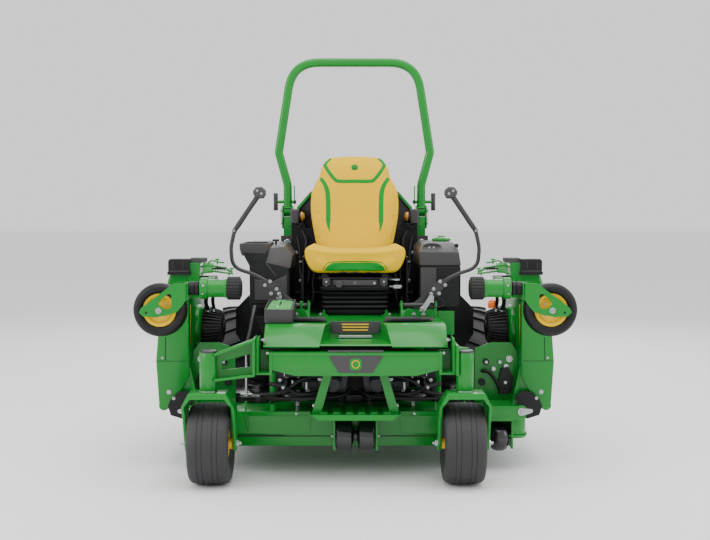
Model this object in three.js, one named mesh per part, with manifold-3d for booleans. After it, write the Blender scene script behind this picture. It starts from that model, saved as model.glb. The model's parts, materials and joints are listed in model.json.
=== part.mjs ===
// A zero turn mower with a centre deck and two wing decks folded up for transport.
// Millimetres, +Z up, the front faces -Y, and +X is the operator's left.
// Parts are drawn with Y counted from the front caster axle; the last group moves the origin
// to the middle of the footprint, on the ground.
import * as THREE from "three";
import { mergeVertices } from "three/addons/utils/BufferGeometryUtils.js";
import Module from "manifold-3d";

const wasm = await Module();
wasm.setup();

// ---------- driving dimensions ----------
const GAP = 0.3; // between pieces that bear on each other
const PLATE = 6; // sheet metal of decks, floor and brackets

const WHEELBASE = 1350;
const REAR_END = 2085; // rear face of the hitch plate
const CASTER = { x: { left: 436, right: 586 }, trail: 75, r: 165, barrelTop: 545, forkTop: 388 };
const DRIVE = { x: 550, r: 305, rimR: 151 };

const RAIL = { x0: 232, x1: 288, z0: 432, z1: 528, y0: 20 + GAP, y1: 1800 };
const BEAM = { half: 334, y0: -75, y1: 20, z0: 450, z1: 543, endZ: 474 };
const BRACKET_X = 398; // outer face of the beam's end brackets
const FLOOR = { half: 370, z: 640, back: 820, toe: [-45, 561], crease: [70, 637] };
const RECESS = { front: 149, back: 103, y: 200, z: 572 };

const ROPS = { x: 336, y: 1150, tube: 42, deep: 50, top: 1871, postTop: 1080, hingeZ: 1110, pinZ: 1154 };
const LEVER = { shaft: [430, 690], pivot: [334, 744], y: 414 };
const SEAT = { half: 223, y0: 450, y1: 850, z0: 839, z1: 956, lean: 12 };

const DECK = { half: 676, notch: 560, y0: 200, notchY: 336, y1: 880, z0: 112, z1: 258 };
const SPINDLE = { pitch: 440, y: 545, bladeHalf: 215 };
const HINGE = { x: 702, z: 258 }; // wing hinge axis, along Y
const WING = { top: 723, skirt: 864, y0: 330, y1: 890, outer: 850, spinY: 610, spinZ: 575,
  bladeHalf: 252 };
const GAUGE = { y: 80, z: 790, wheelX: 800, wheelZ: 702, r: 110 };

// ---------- materials ----------
const paint = (color, roughness = 0.45, metalness = 0.1) =>
  new THREE.MeshStandardMaterial({ color, roughness, metalness });
const GREEN = paint(0x1f8a34, 0.35);
const YELLOW = paint(0xf6d21c, 0.4);
const SEAT_YELLOW = paint(0xf7d51d, 0.6);
const BLACK = paint(0x17181a, 0.6);
const GREY = paint(0x4a4748, 0.6);
const RUBBER = paint(0x1c1c1e, 0.8);
const STEEL = paint(0xb9bcc0, 0.3, 0.9);

// ---------- shapes ----------
// A closed three.js geometry as a solid, with its faces turned out.
function solid(geometry) {
  const bare = new THREE.BufferGeometry().setAttribute("position", geometry.getAttribute("position"));
  if (geometry.index) bare.setIndex(geometry.index);
  const merged = mergeVertices(bare, 1e-4);
  const index = merged.index.array;
  const kept = [];
  for (let i = 0; i < index.length; i += 3) {
    const [a, b, c] = [index[i], index[i + 1], index[i + 2]];
    if (a !== b && b !== c && a !== c) kept.push(a, b, c);
  }
  const build = (tris) =>
    new wasm.Manifold(
      new wasm.Mesh({
        numProp: 3,
        vertProperties: new Float32Array(merged.getAttribute("position").array),
        triVerts: new Uint32Array(tris),
      }),
    );
  const made = build(kept);
  return made.volume() > 0 ? made : build(kept.reverse());
}

const join = (...solids) => solids.reduce((a, b) => a.add(b));
const cut = (from, ...tools) => tools.reduce((a, b) => a.subtract(b), from);

function box([x0, x1], [y0, y1], [z0, z1]) {
  const g = new THREE.BoxGeometry(x1 - x0, y1 - y0, z1 - z0);
  return solid(g.translate((x0 + x1) / 2, (y0 + y1) / 2, (z0 + z1) / 2));
}

// An outline extruded along an axis: (x, y) along z, (x, z) along y, or (y, z) along x.
function prism(axis, outline, from, to) {
  const shape = new THREE.Shape(outline.map(([u, v]) => new THREE.Vector2(u, v)));
  const g = new THREE.ExtrudeGeometry(shape, { depth: to - from, bevelEnabled: false });
  const along = {
    x: new THREE.Matrix4().set(0, 0, 1, from, 1, 0, 0, 0, 0, 1, 0, 0, 0, 0, 0, 1),
    y: new THREE.Matrix4().set(1, 0, 0, 0, 0, 0, -1, to, 0, 1, 0, 0, 0, 0, 0, 1),
    z: new THREE.Matrix4().makeTranslation(0, 0, from),
  };
  return solid(g.applyMatrix4(along[axis]));
}

// A (radius, place along the axis) outline turned about an axis through centre.
function turned(axis, centre, outline, sides = 20) {
  const g = new THREE.LatheGeometry(
    outline.map(([r, t]) => new THREE.Vector2(r, t)),
    sides,
  );
  if (axis === "x") g.rotateZ(-Math.PI / 2);
  if (axis === "z") g.rotateX(Math.PI / 2);
  return solid(g.translate(...centre));
}

const ring = (outline) => [...outline, outline[0]];
// Mirrors the second half of a wheel's outline from its first half.
const bothSides = (half) => ring([...half, ...half.map(([r, t]) => [r, -t]).reverse()]);

function rod(axis, centre, r, from, to, sides = 12) {
  return turned(axis, centre, [[0, from], [r, from], [r, to], [0, to]], sides);
}

// The corners of a 2-D path, each rounded with an arc of its own radius.
function rounded(corners, radius, steps = 5) {
  const path = [corners[0]];
  for (let i = 1; i < corners.length - 1; i++) {
    const at = new THREE.Vector2(...corners[i]);
    const back = new THREE.Vector2(...corners[i - 1]).sub(at).normalize();
    const on = new THREE.Vector2(...corners[i + 1]).sub(at).normalize();
    const half = back.angleTo(on) / 2;
    const reach = radius[i - 1] / Math.tan(half);
    const start = at.clone().addScaledVector(back, reach);
    const end = at.clone().addScaledVector(on, reach);
    const curve = new THREE.QuadraticBezierCurve(start, at, end);
    path.push(...curve.getPoints(steps).map((p) => [p.x, p.y]));
  }
  return [...path, corners[corners.length - 1]];
}

// The closed outline of a band of one width along an open 2-D path.
function band(path, width) {
  const points = path.map(([u, v]) => new THREE.Vector2(u, v));
  const sideOf = (sign) =>
    points.map((p, i) => {
      const a = points[Math.max(i - 1, 0)];
      const b = points[Math.min(i + 1, points.length - 1)];
      const into = p.clone().sub(a).normalize();
      const out = b.clone().sub(p).normalize();
      const way = into.add(out).normalize();
      const stretch = 1 / Math.max(0.5, Math.cos(way.angleTo(i ? p.clone().sub(a) : b.clone().sub(p))));
      return [p.x - sign * way.y * stretch * (width / 2), p.y + sign * way.x * stretch * (width / 2)];
    });
  return [...sideOf(1), ...sideOf(-1).reverse()];
}

// A round tube through 3-D points.
function tube(points, r, steps = 24, sides = 10) {
  const path = new THREE.CatmullRomCurve3(points.map((p) => new THREE.Vector3(...p)),
    false, "centripetal");
  const section = new THREE.Shape(
    Array.from({ length: sides }, (_, i) => {
      const a = (2 * Math.PI * i) / sides;
      return new THREE.Vector2(r * Math.cos(a), r * Math.sin(a));
    }),
  );
  return solid(new THREE.ExtrudeGeometry(section, { extrudePath: path, steps, bevelEnabled: false }));
}

// ---------- the assembly ----------
const mower = new THREE.Group();
mower.position.y = -(REAR_END - CASTER.r) / 2;

function add(name, made, material, mirrored = false) {
  const m = made.getMesh();
  const g = new THREE.BufferGeometry()
    .setAttribute("position", new THREE.BufferAttribute(new Float32Array(m.vertProperties), 3))
    .setIndex(new THREE.BufferAttribute(new Uint32Array(m.triVerts), 1));
  g.computeVertexNormals();
  const mesh = new THREE.Mesh(g, material);
  mesh.name = name;
  if (mirrored) mesh.scale.x = -1;
  mower.add(mesh);
}

// Drawn on the left (+X), and mirrored for the right.
function pair(name, made, material) {
  add(name + "_left", made, material);
  add(name + "_right", made, material, true);
}

const mirror = ([x0, x1]) => [-x1, -x0];
const bothBoxes = (x, y, z) => join(box(x, y, z), box(mirror(x), y, z));

// ---------- chassis ----------
function mainFrame() {
  const { x0, x1, z0, z1, y0, y1 } = RAIL;
  const rails = bothBoxes([x0, x1], [y0, y1], [z0, z1]);
  const crossYs = [y0, 430, 1000, y1 - 50];
  const across = crossYs.map((y) => box([-x0 - 1, x0 + 1], [y, y + 50], [z0 + 8, z1 - 8]));
  const outrigger = bothBoxes([x1 - 1, 370], [ROPS.y - 35, ROPS.y + 35], [z0 + 8, 520]);
  const enginePlate = box([-x0 - 1, x0 + 1], [1250, 1751], [z1 - 9, z1]);
  return join(rails, ...across, outrigger, enginePlate);
}

function frontBeam() {
  const { half, y0, y1, z0, z1, endZ } = BEAM;
  const outline = [[-half, z1], [-half, endZ], [-240, z0], [240, z0], [half, endZ], [half, z1]];
  const shell = prism("y", outline, y0, y1);
  const inside = box([-half + 8, half - 8], [y0 + PLATE, y1 - PLATE], [endZ + 8, z1 - 8]);
  const drain = box([-60, 60], [-40, -10], [z0 - 1, endZ + 9]);
  const tip = [[386, 455], [BRACKET_X, 455], [BRACKET_X, 575], [393, 600], [386, 600]];
  const inner = bothBoxes([half - 1, half + 10], [-80, 40], [455, z1]);
  const web = bothBoxes([half, BRACKET_X], [28, 40], [455, z1]);
  const foot = bothBoxes([half, BRACKET_X], [-80, 40], [455, 463]);
  const outer = prism("y", tip, -80, 40);
  const outerRight = prism("y", tip.map(([x, z]) => [-x, z]).reverse(), -80, 40);
  return join(cut(shell, inside, drain), inner, web, foot, outer, outerRight);
}

function barrel(x) {
  const centre = [x, -CASTER.trail, 0];
  return {
    tube: rod("z", centre, 35, CASTER.forkTop + 4, CASTER.barrelTop, 20),
    bore: rod("z", centre, 19, CASTER.forkTop - 10, CASTER.barrelTop - 8),
  };
}

function shortCasterArm() {
  const { tube: post, bore } = barrel(CASTER.x.left);
  const plate = box([BRACKET_X + GAP, BRACKET_X + 10], [-110, 40], [455, 575]);
  const gusset = prism("z", [[BRACKET_X + 5, 30], [BRACKET_X + 5, -60], [455, -60], [440, -30]],
    462, 560);
  return cut(join(post, plate, gusset), bore);
}

function longCasterArm() {
  const x = CASTER.x.right;
  const { tube: post, bore } = barrel(x);
  const start = BRACKET_X + GAP;
  const end = x - 28;
  const plate = box([start, start + 10], [-110, 40], [455, 600]);
  const outline = [[start + 2, 452], [end, 433], [end, 543], [start + 2, 601]];
  const opening = [[422, 484], [534, 472], [534, 506], [422, 536]];
  const web = cut(prism("y", outline, -57, -45), prism("y", opening, -70, -30));
  const flange = (z0, z1) => [[start + 2, z0], [end, z1], [end, z1 + 9], [start + 2, z0 + 9]];
  const top = prism("y", flange(592, 534), -112, -45);
  const bottom = prism("y", flange(452, 433), -112, -45);
  return cut(join(post, plate, web, top, bottom), bore);
}

function footplate() {
  const { half, z, back, toe, crease } = FLOOR;
  const profile = band([toe, crease, [back, z - PLATE / 2]], PLATE);
  const sheet = prism("x", profile, -half, half);
  const recessPlan = [[-RECESS.front, toe[0] - 20], [RECESS.front, toe[0] - 20],
    [RECESS.back, RECESS.y], [-RECESS.back, RECESS.y]];
  const opened = cut(sheet, prism("z", recessPlan, 500, 700));
  const under = prism("x", [[-45, 563], [70, 639], [RECESS.y + 8, z], [RECESS.y + 8, 555], [-45, 555]],
    -200, 200);
  const wall = (side) =>
    prism("z", side > 0
      ? [[RECESS.front, -44], [RECESS.front + 7, -44], [RECESS.back + 7, 204], [RECESS.back, 204]]
      : [[-RECESS.front - 7, -44], [-RECESS.front, -44], [-RECESS.back, 204], [-RECESS.back - 7, 204]],
    RECESS.z - PLATE, z).intersect(under);
  const panel = box([-RECESS.back - 7, RECESS.back + 7], [RECESS.y - 3, RECESS.y + 3],
    [RECESS.z - PLATE, z]);
  const recessFloor = prism("z", [[-RECESS.front - 6, -40], [RECESS.front + 6, -40],
    [RECESS.back + 6, RECESS.y], [-RECESS.back - 6, RECESS.y]], RECESS.z - PLATE, RECESS.z)
    .intersect(under);
  const legs = [120, 600].map((y) => bothBoxes([238, 282], [y, y + 40], [RAIL.z1 + GAP, z - 2]));
  return join(opened, wall(1), wall(-1), panel, recessFloor, ...legs, leverTowers());
}

// The boxes on the floor that carry each control lever's cross shaft.
function leverTowers() {
  const [y, z] = LEVER.shaft;
  const base = bothBoxes([200, 350], [y - 45, y + 45], [FLOOR.z - 3, 672]);
  const ears = [[200, 210], [350, 360]].map((x) => bothBoxes(x, [y - 18, y + 18], [FLOOR.z - 3, z + 20]));
  const shaftHole = rod("x", [0, y, z], 13, -400, 400);
  return cut(join(base, ...ears), shaftHole);
}

function frontStep() {
  const strut = (side) => {
    const path = [[113 * side, BEAM.z0 - 4], [174 * side, 284]];
    return prism("y", band(side > 0 ? path : path.reverse(), 9), -30, 10);
  };
  const pads = bothBoxes([80, 150], [-45, 10], [BEAM.z0 - GAP - 8, BEAM.z0 - GAP]);
  const tread = prism("z", [[-186, -30], [186, -30], [186, 60], [151, 185], [-151, 185], [-186, 60]],
    281, 288);
  const lip = box([-186, 186], [-30, -24], [248, 285]);
  const ribs = [-60, 60].map((x) => box([x - 12, x + 12], [-26, 180], [274, 282]));
  return join(strut(1), strut(-1), pads, tread, lip, ...ribs);
}

function fuelTank() {
  const outline = [[292, 668], [478, 668], [478, 900], [456, 935], [450, 965], [300, 965], [292, 950]];
  const body = prism("y", outline, 520, 1010);
  const neck = rod("z", [412, 850, 0], 36, 960, 982, 20);
  return join(body, neck);
}

function sideConsole() {
  const outline = [[292, 668], [477, 668], [477, 845], [489, 889], [523, 930], [523, 962],
    [395, 966], [340, 937], [292, 937]];
  const body = prism("y", outline, 520, 1010);
  const tray = box([420, 512], [560, 800], [905, 970]);
  const boxFront = box([282, 404], [325, 380], [FLOOR.z + 3, 722]);
  const boxHollow = box([288, 398], [331, 374], [670, 730]);
  const link = box([380, 404], [378, 522], [FLOOR.z + 8, 690]);
  return join(cut(body, tray), cut(boxFront, boxHollow), link);
}

function engine() {
  const block = box([-150, 150], [1330, 1700], [RAIL.z1 + GAP, 760]);
  const sump = box([-190, 190], [1300, 1720], [RAIL.z1 + GAP, 580]);
  const head = (side) =>
    solid(new THREE.BoxGeometry(110, 230, 220)
      .rotateY(side * Math.PI / 4).translate(side * 150, 1510, 760));
  const flywheel = rod("z", [0, 1510, 0], 150, 750, 900, 24);
  const filter = rod("x", [0, 1420, 960], 60, -150, 150, 16);
  const duct = box([-40, 40], [1390, 1450], [890, 920]);
  return join(block, sump, head(1), head(-1), flywheel, filter, duct);
}

function engineHood() {
  const half = 285;
  const outline = (inset) => [
    [half - inset, 640], [half - inset, 1120], [215 - inset * 0.4, 1200 - inset],
    [-215 + inset * 0.4, 1200 - inset], [-half + inset, 1120], [-half + inset, 640],
  ];
  const outer = prism("y", outline(0), 1130, 1760);
  const inner = prism("y", outline(8).map(([x, z]) => [x, z === 640 ? 600 : z]), 1138, 1752);
  return cut(outer, inner);
}

function rearGuard() {
  const y0 = RAIL.y1 + GAP;
  const flanges = bothBoxes([236, 306], [y0, y0 + 12], [434, 526]);
  const sides = bothBoxes([300, 312], [y0 + 2, REAR_END - 4], [428, 644]);
  const hitch = box([-306, 306], [REAR_END - 12, REAR_END], [432, 560]);
  const rail = box([-306, 306], [REAR_END - 30, REAR_END - 6], [600, 640]);
  const tongue = box([-60, 60], [REAR_END - 90, REAR_END - 8], [436, 448]);
  return join(flanges, sides, hitch, rail, tongue);
}

function ropsPost() {
  const { x, y, deep, postTop, hingeZ } = ROPS;
  const post = box([x - 20, x + 20], [y - deep / 2, y + deep / 2], [520 + GAP, postTop]);
  const side = [[y - 32, 1020], [y + 32, 1020], [y + 32, 1120], [y + 16, 1136], [y - 16, 1136],
    [y - 32, 1120]];
  const cheek = (x0, x1) => prism("x", side, x0, x1);
  const bolt = rod("x", [x, y, hingeZ], 8, -27, 27);
  return join(post, cheek(x - 28, x - 21.5), cheek(x + 21.5, x + 28), bolt,
    box([x - 28, x + 28], [y - 25, y + 25], [1020, 1040]));
}

function ropsHoop() {
  const { x, y, tube: width, top, hingeZ, deep, pinZ } = ROPS;
  const centreTop = top - width / 2;
  const half = [[x, hingeZ], [x, 1240], [380, 1402], [310, centreTop], [0, centreTop]];
  const arcs = rounded(half, [90, 50, 155]);
  const whole = [...arcs, ...arcs.slice(0, -1).reverse().map(([u, v]) => [-u, v])];
  const hoop = prism("y", band(whole, width), y - deep / 2, y + deep / 2);
  const knuckle = rod("x", [0, y, hingeZ], deep / 2, x - width / 2, x + width / 2, 20);
  const otherKnuckle = rod("x", [0, y, hingeZ], deep / 2, -x - width / 2, -x + width / 2, 20);
  const boltHole = rod("x", [0, y, hingeZ], 9, -400, 400);
  const pinHole = rod("x", [0, y, pinZ], 9, -400, 400);
  return cut(join(hoop, knuckle, otherKnuckle), boltHole, pinHole);
}

// A lock pin through the hoop's leg, with a tee handle outside and a stop inside.
function ropsPin() {
  const { x, y, pinZ } = ROPS;
  const shank = rod("x", [0, y, pinZ], 8, x - 34, 392);
  const grip = rod("z", [397, y, 0], 11, pinZ - 44, pinZ + 44);
  return join(shank, grip);
}

function fender() {
  const y = [830, 1500];
  const outline = [[362, 450], [520, 450], [568, 520], [568, 640], [508, 703], [484, 660], [362, 660]];
  const front = prism("y", outline, y[0], y[0] + PLATE);
  const crest = band([[362, 657], [486, 657], [509, 698], [564, 641], [565, 622]], PLATE);
  return join(front, prism("y", crest.reverse(), ...y));
}

function wheelMotor() {
  const centre = [0, WHEELBASE, DRIVE.r];
  const plate = box([RAIL.x1 + GAP, RAIL.x1 + 12], [WHEELBASE - 70, WHEELBASE + 70], [235, 515]);
  const body = turned("x", centre, [[0, 295], [78, 295], [78, 350], [60, 370], [60, 388], [0, 388]]);
  const axle = rod("x", centre, 20, 380, 545);
  return join(plate, body, axle);
}

function warningLamp() {
  const housing = box([272, 320], [1062, 1110], [1048, 1118]);
  const lens = rod("x", [0, 1086, 1082], 24, 246, 274, 16);
  const stem = box([310, 318], [1105, ROPS.y - 32 - GAP], [1030, 1080]);
  return join(housing, lens, stem);
}

add("main_frame", mainFrame(), BLACK);
add("front_beam", frontBeam(), GREEN);
add("caster_arm_left", shortCasterArm(), GREEN);
add("caster_arm_right", longCasterArm(), GREEN, true);
add("footplate", footplate(), GREEN);
add("front_step", frontStep(), GREEN);
add("fuel_tank", fuelTank(), GREY);
add("side_console", sideConsole(), GREY, true);
add("engine", engine(), BLACK);
add("engine_hood", engineHood(), BLACK);
add("rear_guard", rearGuard(), GREEN);
pair("rops_post", ropsPost(), GREEN);
add("rops_hoop", ropsHoop(), GREEN);
pair("rops_pin", ropsPin(), GREY);
pair("fender", fender(), BLACK);
pair("wheel_motor", wheelMotor(), BLACK);
pair("warning_lamp", warningLamp(), GREY);

// ---------- seat ----------
function seatCushion() {
  const { half, y0, y1, z0, z1 } = SEAT;
  const side = [[y0 + 20, z0], [y1 - 10, z0], [y1, z1 - 30], [y0 + 90, z1], [y0 + 12, z1 - 18],
    [y0, z0 + 40]];
  return prism("x", side, -half, half);
}

function seatBack() {
  const half = [[165, 0], [200, 130], [217, 230], [219, 310], [205, 352], [174, 398], [151, 474],
    [104, 500]];
  const outline = [...half, ...half.map(([x, z]) => [-x, z]).reverse()];
  const shape = new THREE.Shape(outline.map((p) => new THREE.Vector2(...p)));
  const g = new THREE.ExtrudeGeometry(shape, { depth: 80, bevelEnabled: false });
  g.rotateX(Math.PI / 2).translate(0, 80, 0); // upright, front face at y = 0
  return solid(g.rotateX(-THREE.MathUtils.degToRad(SEAT.lean)).translate(0, SEAT.y1 + 8, 880));
}

function seatPan() {
  const lean = THREE.MathUtils.degToRad(SEAT.lean);
  const behind = 88 + PLATE / 2;
  const onFrame = (up) => [
    SEAT.y1 + 8 + behind * Math.cos(lean) + up * Math.sin(lean),
    880 - behind * Math.sin(lean) + up * Math.cos(lean),
  ];
  const pan = band([[SEAT.y0 + 30, 833], [SEAT.y1 + 78, 833], onFrame(20), onFrame(430)], PLATE + 2);
  return prism("x", pan, -150, 150);
}

function seatRails() {
  const plate = box([-165, 165], [480, 820], [802, 812]);
  const runners = bothBoxes([118, 150], [480, 820], [811, 827]);
  return join(plate, runners);
}

add("seat_cushion", seatCushion(), SEAT_YELLOW);
add("seat_back", seatBack(), SEAT_YELLOW);
add("seat_pan", seatPan(), BLACK);
add("seat_rails", seatRails(), BLACK);
add("seat_suspension", box([-149, 149], [500, 790], [FLOOR.z + 1, 801]), RUBBER);

// ---------- control levers ----------
function leverBase() {
  const [y, z] = LEVER.shaft;
  const [px, pz] = LEVER.pivot;
  const shaft = rod("x", [0, y, z], 12, 196, 364);
  const link = prism("y", band([[262, z - 4], [px, pz]], 30), y - 6, y + 6);
  const eye = rod("y", [px, y, pz], 18, -6, 6);
  const pin = rod("y", [px, y, pz], 7, -28, 0);
  return join(shaft, link, eye, pin);
}

function controlLever() {
  const [px, pz] = LEVER.pivot;
  const y = LEVER.y;
  const boss = rod("y", [px, y, pz], 17, -9, 9);
  const arm = tube([[px, y, pz], [361, y, 764], [396, y, 801], [516, y - 8, 857], [541, y - 12, 900],
    [542, y - 16, 955], [526, y - 24, 1024]], 8.5, 20, 8);
  const grip = tube([[528, y - 24, 1018], [416, y - 50, 1182]], 12, 2);
  const head = prism("y", [[389, 1183], [400, 1163], [426, 1165], [440, 1188], [428, 1208],
    [402, 1208]], y - 62, y - 38);
  return cut(join(boss, arm, grip, head), rod("y", [px, y, pz], 7.8, -20, 20, 12));
}

pair("lever_base", leverBase(), STEEL);
pair("control_lever", controlLever(), GREY);

// ---------- wheels ----------
function casterFork(x) {
  const { trail, r, forkTop } = CASTER;
  const arch = (leg, crown) => [
    [-104 + leg, 132], [-104 + leg, 330], [-74 + leg / 2, forkTop - crown],
    [74 - leg / 2, forkTop - crown], [104 - leg, 330], [104 - leg, 132],
  ];
  const place = (outline) => outline.map(([u, v]) => [u + x, v]);
  const shell = cut(
    prism("y", place(arch(0, 0)).reverse(), -trail - 60, 40),
    prism("y", place(arch(13, 24).map(([u, v]) => [u, v === 132 ? 100 : v])).reverse(), -trail - 70, 60),
  );
  const side = prism("x", [[-135, 400], [-30, 400], [20, 300], [34, 165], [20, 138], [-20, 138],
    [-40, 170], [-90, 290], [-135, 345]], x - 120, x + 120);
  const stem = rod("z", [x, -trail, 0], 17, forkTop - 4, CASTER.barrelTop - 12, 16);
  const axle = rod("x", [x, 0, r], 10, -112, 112);
  return join(shell.intersect(side), stem, axle);
}

const casterTyre = () => bothSides([[77, 50], [125, 84], [153, 76], [165, 38]]);
const casterRim = () => bothSides([[11, 88], [20, 88], [20, 12], [66, 12], [76, 52]]);
const driveTyre = () => bothSides([[152, 110], [230, 150], [280, 145], [305, 90]]);

function driveRim() {
  const outline = [[21, -70], [60, -70], [60, -46], [135, -46], [135, -108], [DRIVE.rimR, -112],
    [DRIVE.rimR, 112], [135, 108], [135, -30], [60, -30], [60, -12], [21, -12]];
  return turned("x", [DRIVE.x, WHEELBASE, DRIVE.r], ring(outline), 20);
}

for (const side of ["left", "right"]) {
  const x = CASTER.x[side];
  const mirrored = side === "right";
  const centre = [x, 0, CASTER.r];
  add("caster_fork_" + side, casterFork(x), GREEN, mirrored);
  add("caster_tyre_" + side, turned("x", centre, casterTyre(), 24), RUBBER, mirrored);
  add("caster_rim_" + side, turned("x", centre, casterRim(), 16), YELLOW, mirrored);
}
pair("drive_tyre", turned("x", [DRIVE.x, WHEELBASE, DRIVE.r], driveTyre(), 28), RUBBER);
pair("drive_rim", driveRim(), YELLOW);

// ---------- centre deck ----------
function deckPlan(inset) {
  const { half, notch, y0, notchY, y1 } = DECK;
  const right = [[notch - inset, y0 + inset], [notch - inset, notchY + inset],
    [half - inset, notchY + inset],
    [half - inset, 800 - inset * 0.4], [600 - inset * 0.4, y1 - inset]];
  return [...right, ...right.map(([x, y]) => [-x, y]).reverse()];
}

const ROLLER = { y: 128, z: 169 };
const SIDE_WHEEL = { x: 617, y: 262, z: 138 };

function deckShell() {
  const { z0, z1 } = DECK;
  const shell = cut(prism("z", deckPlan(0), z0, z1), prism("z", deckPlan(PLATE), z0 - 10, z1 - PLATE));
  const holes = [-1, 0, 1].map((i) => rod("z", [i * SPINDLE.pitch, SPINDLE.y, 0], 24, z1 - 20, z1 + 10));
  const rollerCheeks = bothBoxes([84, 92], [ROLLER.y - 50, DECK.y0 + 2], [118, 245]);
  const rollerAxle = rod("x", [0, ROLLER.y, ROLLER.z], 7.5, -92, 92);
  const wheelFront = bothBoxes([562, 672], [192, 198], [218, 282]);
  const wheelTop = bothBoxes([562, 672], [192, 345], [276, 282]);
  const wheelFoot = bothBoxes([562, 672], [338, 345], [z1 - 5, 280]);
  const cheeks = [[562, 570], [664, 672]].map((x) => bothBoxes(x, [215, 336], [95, 280]));
  const wheelAxle = (s) => rod("x", [s * SIDE_WHEEL.x, SIDE_WHEEL.y, SIDE_WHEEL.z], 7.5, -54, 54);
  const hangers = [[212, 222], [830, 840]].map((y) => bothBoxes([338, 364], y, [z1 - 5, 425]));
  const lugs = [370, 810].flatMap((y) => [1, -1].map((s) => hingeLug(s, y)));
  return join(cut(shell, ...holes), rollerCheeks, rollerAxle, wheelFront, wheelTop, wheelFoot,
    ...cheeks, wheelAxle(1), wheelAxle(-1), ...hangers, ...lugs, cornerShoe(1), cornerShoe(-1));
}

// The deck's front corner outside the side wheel, with the front hinge lug above it.
function cornerShoe(side) {
  const { y0, notchY, z0 } = DECK;
  const plan = (inset) => rounded([[664, y0 + 30 + inset], [735 - inset, y0 + 30 + inset],
    [735 - inset, 322]], [62 - inset]);
  const outline = (inset, back) => [...plan(inset), [735 - inset, back], [664, back]];
  const shell = cut(
    prism("z", outline(0, 323), z0 + 25, 223),
    prism("z", outline(PLATE, 330), z0, 223 - PLATE),
  );
  const lug = rod("y", [HINGE.x, 0, HINGE.z], 27, 192, 200, 20);
  const plate = box([560, HINGE.x], [192, 200], [223, 282]);
  const arm = box([664, 672], [y0 - 4, notchY + 8], [214, 250]);
  const made = join(shell, lug, plate, arm);
  return side > 0 ? made : made.mirror([1, 0, 0]);
}

// One deck lug, with the stub pin that the wing's arm turns on.
function hingeLug(side, y) {
  const centre = [side * HINGE.x, 0, HINGE.z];
  const x = side > 0 ? [640, HINGE.x] : [-HINGE.x, -640];
  const pin = y < 500 ? [y - 28, y + 22] : [y - 2, y + 48];
  return join(
    rod("y", centre, 20, y, y + 20, 16),
    box(x, [y, y + 20], [HINGE.z - 14, HINGE.z + 12]),
    rod("y", centre, 9, pin[0], pin[1]),
  );
}

function bladeSpindle(x) {
  const { y, bladeHalf } = SPINDLE;
  const blade = prism("z", [[x - bladeHalf, y - 20], [x + bladeHalf, y - 28], [x + bladeHalf, y + 20],
    [x - bladeHalf, y + 28]], 163, 168);
  const shaft = rod("z", [x, y, 0], 20, 158, 310);
  const pulley = turned("z", [x, y, 0], [[0, 268], [70, 268], [60, 279], [70, 290], [0, 290]], 16);
  return join(blade, shaft, pulley);
}

const rollerSpool = bothSides([[8.5, 80], [60, 80], [67, 72], [67, 16], [22, 9]]);
const sideWheel = bothSides([[8.5, 39], [40, 39], [54, 29], [61, 12]]);

add("deck_shell", deckShell(), GREEN);
add("deck_rollers", turned("x", [0, ROLLER.y, ROLLER.z], rollerSpool, 20), BLACK);
pair("deck_wheel", turned("x", [SIDE_WHEEL.x, SIDE_WHEEL.y, SIDE_WHEEL.z], sideWheel, 16), BLACK);
add("blade_center", bladeSpindle(0), STEEL);
add("blade_left", bladeSpindle(SPINDLE.pitch), STEEL);
add("blade_right", bladeSpindle(-SPINDLE.pitch), STEEL);

// ---------- wing decks, folded upright ----------
function wingShell() {
  const { top, skirt, y0, y1, outer } = WING;
  const profile = [[top, 390], [796, 262], [852, 262], [skirt, 456], [852, 600], [806, outer],
    [top, outer]];
  const hollow = [[top + PLATE, 392], [801, 268], [920, 268], [920, outer - PLATE],
    [top + PLATE, outer - PLATE]];
  const plan = (inset) => [[y0 + inset, 200], [y1 - inset, 200], [y1 - inset, 760 - inset * 0.4],
    [790 - inset * 0.4, outer - inset], [400 + inset * 0.4, outer - inset],
    [y0 + inset, 760 - inset * 0.4]];
  const solidWing = prism("y", profile.reverse(), y0, y1).intersect(prism("x", plan(0), 700, 900));
  const space = prism("y", hollow.reverse(), y0 + PLATE, y1 - PLATE).intersect(prism("x", plan(PLATE),
    700, 930));
  const ear = join(
    rod("y", [832, 0, 262], 22, y0, y0 + PLATE, 16),
    prism("y", [[800, 258], [852, 300], [852, 262], [815, 246]].reverse(), y0, y0 + PLATE),
  );
  const arms = [345, 835].map(hingeArm);
  return join(cut(solidWing, space), ear, ...arms);
}

function hingeArm(y) {
  const outline = [[HINGE.x - 20, HINGE.z], [HINGE.x + 20, HINGE.z], [772, 318], [725, 430], [718, 430]];
  const plate = prism("y", outline, y, y + 20);
  const eye = rod("y", [HINGE.x, 0, HINGE.z], 20, y, y + 20, 16);
  return cut(join(plate, eye), rod("y", [HINGE.x, 0, HINGE.z], 10.5, y - 5, y + 25, 12));
}

function wingMotor() {
  const centre = [0, WING.spinY, WING.spinZ];
  const profile = [[0, 596], [80, 596], [92, 608], [94, WING.top - 32], [106, WING.top - 26],
    [106, WING.top - GAP], [0, WING.top - GAP]];
  return turned("x", centre, profile);
}

function wingBlade() {
  const { spinY: y, spinZ: z, bladeHalf } = WING;
  const blade = prism("x", [[y - 24, z - bladeHalf], [y + 32, z - bladeHalf], [y + 24, z + bladeHalf],
    [y - 32, z + bladeHalf]], 794, 800);
  return join(blade, rod("x", [0, y, z], 20, WING.top + PLATE + 1, 806, 16));
}

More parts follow.
